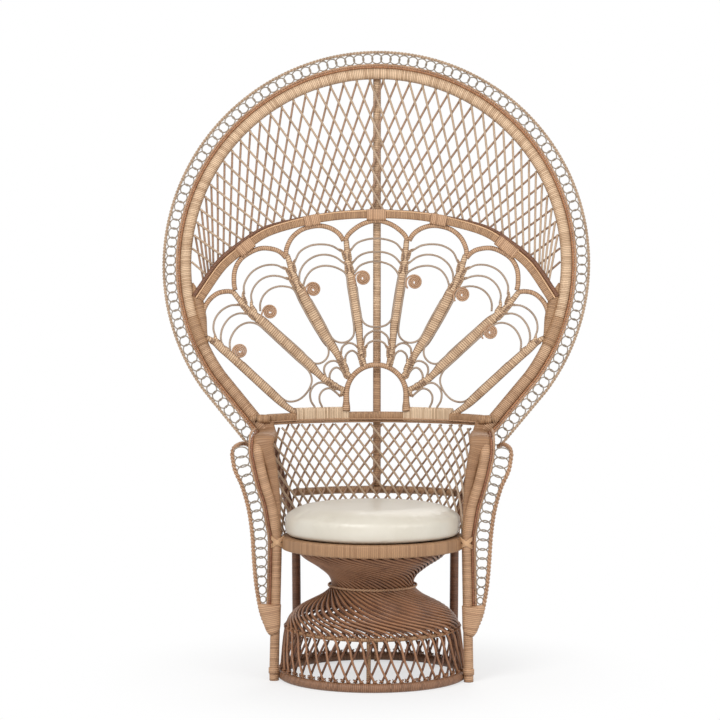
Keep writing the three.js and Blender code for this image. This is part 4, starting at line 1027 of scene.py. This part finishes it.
def lattice():
    front, rear = Build(), Build()
    inset = -math.sqrt((FAN_POLE + GAP + STRAND) ** 2 - (LAYER_GAP / 2) ** 2) - GAP
    for deg in np.arange(FAN_FROM, FAN_TO, FAN_PITCH):
        a = hoop_place(deg, inset)
        b = at_share(ARCH, 0.5 + np.interp(deg, *zip(*LANDINGS)) / 2)
        reach = np.linalg.norm(a - b)
        if reach < FAN_SHORT:
            continue
        line = a + (b - a) * np.linspace(FAN_SINK / reach, 1, 16)[:, None]
        front.tube(shell(line, -LAYER_GAP / 2), STRAND)
        rear.tube(shell(line * [-1, 1], LAYER_GAP / 2), STRAND)
    front.piece("fan_lattice_front_strands", CANE, ["fan_lattice_front"])
    rear.piece("fan_lattice_rear_strands", CANE_BROWN, ["fan_lattice_rear"], slot="dark_rattan")


# Flower of petals

FLOWER = ARCH_BACK + 3
# Shares of the fan's radius from its middle: the left half, then the lobe in the middle
LOBES = [
    [(-0.907, -0.307), (-0.897, -0.243), (-0.869, -0.196), (-0.826, -0.164), (-0.776, -0.156),
     (-0.752, -0.16)],
    [(-0.742, -0.15), (-0.748, -0.122), (-0.745, -0.045), (-0.717, 0.011), (-0.667, 0.0496),
     (-0.606, 0.072), (-0.534, 0.064), (-0.5, 0.045), (-0.478, 0.02)],
    [(-0.477, 0.03), (-0.477, 0.0635), (-0.45, 0.1245), (-0.402, 0.1675), (-0.349, 0.1865),
     (-0.294, 0.1915), (-0.238, 0.1765), (-0.196, 0.1465), (-0.174, 0.112)],
    [(-0.165, 0.112), (-0.15, 0.143), (-0.098, 0.188), (-0.048, 0.211), (0, 0.219), (0.048, 0.211),
     (0.098, 0.188), (0.15, 0.143), (0.165, 0.112)],
]
# Left half of the trunks as the camera sees them: picture X and Y, and the half width there in mm
TRUNKS = [
    [(207, 337.3, 5.5), (215, 342.5, 8), (222, 348.5, 10), (230, 355.1, 10.6), (280, 400.5, 10.6),
     (286, 406, 8.5), (294, 411.5, 7.5), (299, 415, 7)],
    [(233.5, 291.5, 6.5), (241, 301, 7), (249, 310, 8.2), (256.5, 316.5, 10.5), (262, 321, 13),
     (270, 328.2, 13.6), (300, 355.6, 13.6), (312, 366.6, 13.2), (318, 372.5, 9.5), (326, 380, 8.2),
     (334, 385, 7.6), (345, 390, 7)],
    [(288, 255, 6.8), (290.8, 263.7, 7.5), (294.5, 275.5, 9.5), (298.9, 285.7, 11), (303.3, 293, 12.6),
     (307, 301, 13.6), (328.3, 340, 13.6), (334.1, 347.4, 11), (339.2, 356.2, 8.4), (344.5, 368, 7.6),
     (351, 377, 6.5)],
    [(347.3, 240.3, 6.8), (348.3, 252, 7.5), (349.5, 265.2, 9.3), (352.4, 280, 11.3), (358.2, 317, 11.5),
     (359.9, 328.5, 10), (360.6, 337, 8.6), (362, 351, 7.8), (365.5, 367, 7)],
]
# Picture points of canes, the left half and the middle: two arcs for each petal, then the heart's arcs
ARCS = [
    [(216.7, 338.0), (214.0, 329.6), (214.9, 321.2), (218.6, 314.3), (224.4, 308.9), (232.0, 305.4),
     (240.0, 305.1)],
    [(222.6, 344.9), (221.3, 337.2), (222.9, 328.8), (226.7, 321.9), (232.0, 316.6), (239.7, 313.5),
     (247.7, 314.0)],
    [(245.1, 294.4), (244.6, 286.7), (247.4, 279.1), (252.7, 272.2), (259.6, 267.6), (268.0, 265.0),
     (278.0, 265.3), (285.6, 269.1)],
    [(253.2, 303.6), (251.9, 295.9), (254.2, 288.3), (259.6, 281.4), (266.5, 277.2), (274.9, 275.7),
     (282.6, 276.8), (289.0, 279.4)],
    [(295.5, 262.4), (300.8, 252.0), (310.8, 245.9), (322.3, 244.3), (333.0, 245.9), (342.1, 251.2)],
    [(300.2, 281.7), (300.9, 272.5), (305.5, 263.8), (314.7, 256.9), (325.4, 254.6), (336.1, 256.9),
     (346.1, 264.0)],
    [(351.3, 251.2), (357.5, 243.6), (366.6, 239.8), (377.5, 238.5), (388.4, 239.8), (397.5, 243.6),
     (403.7, 251.2)],
    [(352.9, 264.0), (359.0, 257.0), (366.6, 253.1), (377.5, 251.7), (388.4, 253.1), (396.0, 257.0),
     (402.1, 264.0)],
    [(315.5, 406.9), (311.9, 400.8), (311.3, 392.4), (314.7, 386.2), (320.1, 382.9), (326.2, 383.5),
     (329.2, 385.5)],
    [(323.1, 406.9), (320.8, 401.5), (320.8, 395.4), (324.7, 390.1), (330.8, 388.5), (337.7, 393.1),
     (341.5, 396.9)],
    [(326.9, 377.0), (325.1, 370.9), (326.2, 365.6), (330.8, 361.7), (336.1, 361.0), (340.7, 363.6)],
    [(330.8, 380.9), (330.8, 374.8), (333.8, 369.4), (337.7, 367.6), (342.3, 370.2), (346.1, 377.0)],
    [(342.3, 354.1), (343.0, 348.0), (346.8, 344.1), (351.4, 343.1), (356.0, 344.9), (359.1, 348.0)],
    [(346.8, 361.7), (346.5, 357.1), (349.1, 352.6), (353.7, 350.7), (358.3, 354.1), (360.6, 360.2)],
    [(364.4, 344.9), (366.0, 337.2), (370.6, 332.7), (377.5, 330.4), (384.3, 332.7), (388.9, 337.2),
     (390.5, 344.9)],
    [(367.1, 348.0), (369.0, 343.7), (372.9, 341.4), (377.5, 340.3), (382.1, 341.4), (385.9, 343.7),
     (387.9, 348.0)],
]
OVALS = [
    [(230.8, 350.3), (230.5, 341.8), (233.3, 334.2), (238.2, 327.8), (244.6, 323.8), (251.2, 322.6),
     (258.8, 324.7), (278.0, 341.8), (296.3, 358.7), (310.1, 371.7), (312.9, 380.1), (310.9, 387.8),
     (306.3, 394.7), (300.2, 399.7), (293.3, 401.8), (286.4, 400.8), (271.8, 387.8), (256.5, 374.0),
     (244.3, 362.5)],
    [(261.1, 311.2), (261.1, 303.6), (264.2, 295.9), (270.3, 289.8), (278.0, 286.7), (285.6, 286.4),
     (294.0, 289.0), (300.9, 302.0), (310.1, 318.9), (319.3, 334.2), (329.2, 348.0), (329.2, 355.6),
     (325.4, 361.0), (320.1, 363.6), (314.7, 363.0), (302.5, 351.0), (287.1, 337.2), (274.9, 326.5)],
    [(304.0, 286.7), (307.0, 277.6), (313.2, 269.9), (322.4, 266.1), (331.5, 266.1), (339.2, 268.4),
     (346.8, 273.7), (349.1, 286.7), (353.0, 311.2), (355.3, 329.6), (354.5, 335.7), (350.7, 340.3),
     (344.5, 342.6), (338.4, 341.8), (333.8, 338.8), (325.4, 323.5), (317.8, 309.7), (311.6, 299.0)],
    [(355.3, 273.0), (360.6, 266.1), (369.8, 262.2), (377.5, 261.5), (385.1, 262.6), (393.5, 266.5),
     (399.7, 275.3), (398.1, 285.2), (394.3, 311.2), (392.0, 320.4), (386.6, 325.3), (377.5, 327.0),
     (369.0, 325.6), (363.7, 321.2), (361.4, 311.2), (359.4, 299.0), (357.9, 286.7)],
]
# Middles of the seven spirals, as picture points
SPIRALS = [(240.4, 351.5), (270.7, 312.0), (314.3, 289.3), (364.0, 278.0), (415.7, 282.0), (463.2, 294.6),
           (491.0, 332.0)]
PETALS, LOBE_POLE, TRUNK_DEPTH, PETAL_CANE, SMALL_CANE = 7, 6.0, 6.4, 2.6, 2.7
WEDGE_RUN, WEDGE_SHARES, WEDGE_RADII = 6, [0, 0.25, 0.55, 0.85, 1], [2.4, 3.6, 5.8, 6.6, 4.0]
CURL_TURNS, CURL_OUT, CURL_IN, CURL_POINTS = 3.8, 17.2, 2.0, 140
CANE_BACK = FLOWER - 4.0
HEART_FOOT = BAR_Z + BAR_SIZE / 2 + 10


def flower_places(rows, back, flip):
    """Places in X and Z of picture points on the flower, its middle at X = 0."""
    place = seen(rows, back) - [float(seen([FLOWER_PX], back)[0, 0]), 0]
    return place * [-1, 1] if flip else place


def trunk_rows(row, flip):
    """A trunk's line of places with its half width as the third number."""
    row = np.array(row, float)
    return spline(np.column_stack([flower_places(row[:, :2], FLOWER, flip), row[:, 2]]))


def wedge(build, line, trunks):
    """Wraps a cane's end on to the nearest trunk: it widens, and runs down along the trunk's edge."""
    gaps = [np.linalg.norm(t[:, :2] - line[-1], axis=1) for t in trunks]
    best = int(np.argmin([g.min() for g in gaps]))
    trunk, start = trunks[best], int(np.argmin(gaps[best]))
    place = min(start + WEDGE_RUN, len(trunk) - 1)
    along = unit(trunk[place, :2] - trunk[place - 1, :2])
    out = np.array([-along[1], along[0]])
    side = np.sign(np.dot(out, line[-4] - trunk[start, :2])) or 1.0
    foot = trunk[place, :2] + out * side * max(trunk[place, 2] - 4.6, 0)
    path = spline(np.array([line[-4], line[-1] * 0.8 + trunk[start, :2] * 0.2, foot]), 2.5)
    share = np.linspace(0, 1, len(path))
    build.tube(shell(path, CANE_BACK + 3.0 * share), np.interp(share, WEDGE_SHARES, WEDGE_RADII), 10)


def curl_line(centre, end):
    """A flat spiral, clockwise as one looks at it, that begins at the given place."""
    away = np.asarray(end, float) - centre
    first = math.atan2(away[1], away[0])
    turn = np.linspace(0, CURL_TURNS * 2 * math.pi, CURL_POINTS)
    reach = [np.linalg.norm(away), CURL_OUT, CURL_IN]
    radius = np.interp(turn / (2 * math.pi), [0, 0.3, CURL_TURNS], reach)
    return centre + np.stack([radius * np.cos(first - turn), radius * np.sin(first - turn)], -1)


def lobes_and_trunks(trunks):
    for i in range(PETALS):
        place = spline(shares(LOBES[min(i, 6 - i)])) * [-1 if i > 3 else 1, 1]
        pole(f"petal_lobe_{i + 1}_wrapped", WRAP_LOBE, [f"petal_lobe_{i + 1}"], shell(place, FLOWER),
             LOBE_POLE, 14, depth=FORWARD)
    for i, rows in enumerate(trunks):
        trunk = Build()
        width = rows[:, 2]
        half = np.stack([width, np.minimum(width, TRUNK_DEPTH)], -1)
        trunk.sweep(shell(rows[:, :2], FLOWER), ring(16)[None] * half[:, None], depth=FORWARD)
        knot = rows[3:6] if i in (0, PETALS) else rows[-12:-8]
        trunk.tube(shell(spline(knot[:, :2], 3.0), FLOWER - 0.6), 8.2, 12)
        trunk.piece(f"petal_trunk_{i + 1}_wrapped", WRAP_PETAL, [f"petal_trunk_{i + 1}"])


def heart():
    foot = HEART_FOOT
    a = np.radians(np.linspace(180, 0, 50))
    leg = np.array([[-HEART_R - 1, foot - 8], [-HEART_R, foot + 4], [-HEART_R, foot + 18]])
    arc = np.stack([HEART_R * np.cos(a), foot + 32 + HEART_R * np.sin(a)], -1)
    line = resample(np.concatenate([leg, arc, leg[::-1] * [-1, 1]]), 4.0)
    thick = np.interp(line[:, 1], [foot - 6, foot + 6, foot + 16, foot + 60], [11, 9.5, 7.8, 6.6])
    pole("petal_heart_arch_wrapped", WRAP_LOBE, ["petal_heart_arch"], shell(line, FLOWER), thick, 16,
         depth=FORWARD)


def petal_canes(trunks):
    for i in range(PETALS):
        k, flip = min(i, 6 - i), i > 3
        cane, ends = Build(), Build()
        oval = spline(flower_places(OVALS[k], CANE_BACK, flip), 3.0)
        curl = flower_places([SPIRALS[i]], CANE_BACK, False)[0]
        beginning = curl + np.array([-17.0, -16.0]) if i > 2 else oval[-1]
        cane.tube(shell(oval, CANE_BACK), PETAL_CANE)
        pole(f"petal_{i + 1}_curl", CANE_CURL, [], shell(curl_line(curl, beginning), CANE_BACK - 0.5),
             np.linspace(2.2, 2.1, CURL_POINTS), 8, "cane")
        for row in ARCS[2 * k:2 * k + 2]:
            line = spline(flower_places(row, CANE_BACK, flip), 3.0)
            cane.tube(shell(line, CANE_BACK), PETAL_CANE)
            wedge(ends, line, trunks)
            wedge(ends, line[::-1], trunks)
        cane.piece(f"petal_{i + 1}_canes", CANE_PETAL, [f"petal_cane_{i + 1}"], slot="cane")
        ends.piece(f"petal_{i + 1}_wraps", WRAP_PETAL)


def small_arcs(trunks):
    small, ends = Build(), Build()
    for row in ARCS[8:]:
        for flip in (False, True):
            line = spline(flower_places(row, CANE_BACK, flip), 2.5)
            if line[0, 1] < HEART_FOOT + 14:
                inward = 1.5 if line[0, 0] < 0 else -1.5
                line = np.concatenate([[[line[0, 0] + inward, HEART_FOOT - 3]], line])
            small.tube(shell(line, CANE_BACK + 1.0), SMALL_CANE)
            wedge(ends, line, trunks)
            if line[0, 1] > HEART_FOOT:
                wedge(ends, line[::-1], trunks)
            if abs(line[:, 0].mean()) < 3:
                break
    small.piece("heart_small_arcs", CANE_PETAL, slot="cane")
    ends.piece("heart_small_wraps", WRAP_PETAL)


def flower():
    trunks = [trunk_rows(TRUNKS[min(i, PETALS - i)], i > 3) for i in range(PETALS + 1)]
    lobes_and_trunks(trunks)
    heart()
    petal_canes(trunks)
    small_arcs(trunks)


drum()
seat()
cushion()
fan()
arms()
tub()
crossbar()
centre_post()
arch()
lattice()
flower()


# Floor, light and camera

FLOOR_HALF, PICTURE, SENSOR, CAMERA_PITCH = 12.0, 720, 36.0, 1.2


def looked_at(tree):
    """1 for the rays that carry what the camera sees, through glass and in reflections too."""
    path = node(tree, "ShaderNodeLightPath")
    camera_ray, glass_ray, glossy_ray = (path.outputs[f"Is {kind} Ray"] for kind in
                                         ("Camera", "Transmission", "Glossy"))
    return maths("MAXIMUM", maths("MAXIMUM", camera_ray, glass_ray), glossy_ray)


def floor():
    mesh = bpy.data.meshes.new("floor")
    s = FLOOR_HALF
    mesh.from_pydata([(-s, -s, 0), (s, -s, 0), (s, s, 0), (-s, s, 0)], [], [(0, 1, 2, 3)])
    obj = bpy.data.objects.new("floor", mesh)
    bpy.context.scene.collection.objects.link(obj)
    m, tree, shader = surface("pale_floor", 0.9, 0.1)
    shader.inputs["Base Color"].default_value = (0.9, 0.9, 0.9, 1)
    glow = node(tree, "ShaderNodeEmission", Color=(1, 1, 1, 1), Strength=1.0)
    place = node(tree, "ShaderNodeTexCoord").outputs["Object"]
    reach = node(tree, "ShaderNodeVectorMath", _operation="LENGTH", i0=place).outputs["Value"]
    near = node(tree, "ShaderNodeMapRange", _interpolation_type="SMOOTHSTEP", i0=reach, i1=0.25, i2=0.75,
                i3=0.62, i4=1.0)
    blend = node(tree, "ShaderNodeMixShader", i0=times(near.outputs[0], looked_at(tree)),
                 i1=shader.outputs[0], i2=glow.outputs[0])
    plug(tree.nodes["Material Output"].inputs[0], blend.outputs[0])
    mesh.materials.append(m)


def world():
    w = bpy.data.worlds.new("studio")
    bpy.context.scene.world = w
    w.use_nodes = True
    tree = w.node_tree
    tree.nodes.clear()
    strength = add(times(looked_at(tree), 0.5), 0.5)
    back = node(tree, "ShaderNodeBackground", Color=(1, 1, 1, 1), i1=strength)
    node(tree, "ShaderNodeOutputWorld", i0=back.outputs[0])


def lamp(name, location, target, size, power):
    light = bpy.data.lights.new(name, "AREA")
    light.shape = "DISK"
    light.size = size
    light.energy = power
    obj = bpy.data.objects.new(name, light)
    obj.location = location
    obj.rotation_euler = (Vector(target) - Vector(location)).to_track_quat("-Z", "Y").to_euler()
    bpy.context.scene.collection.objects.link(obj)


def camera():
    data = bpy.data.cameras.new("camera")
    obj = bpy.data.objects.new("camera", data)
    bpy.context.scene.collection.objects.link(obj)
    az, pitch = rad(VIEW_AZ), rad(CAMERA_PITCH)
    away = Vector((math.sin(az), -math.cos(az), 0)) * (VIEW_D / 1000)
    obj.location = Vector(SHIFT) + away + Vector((0, 0, VIEW_Z / 1000))
    level = math.cos(pitch)
    forward = Vector((-math.sin(az) * level, math.cos(az) * level, -math.sin(pitch)))
    obj.rotation_euler = forward.to_track_quat("-Z", "Y").to_euler()
    data.sensor_fit = "HORIZONTAL"
    data.sensor_width = SENSOR
    data.lens = FOCAL / PICTURE * SENSOR
    data.shift_x = (PICTURE / 2 - AXIS_PX) / PICTURE
    data.shift_y = (HORIZON - PICTURE / 2 + FOCAL * math.tan(pitch)) / PICTURE
    data.clip_end = 60
    bpy.context.scene.camera = obj


floor()
world()
# Name, place, what it points at, disk size in metres, watts
lamp("key", (-1.6, -3.4, 3.4), (0, 0, 0.7), 2.6, 120)
lamp("fill", (2.6, -2.6, 1.8), (0, 0, 0.8), 2.4, 45)
lamp("back", (0.6, 3.2, 3.0), (0, 0, 0.9), 2.4, 45)
camera()
bpy.context.scene.view_settings.view_transform = "Standard"
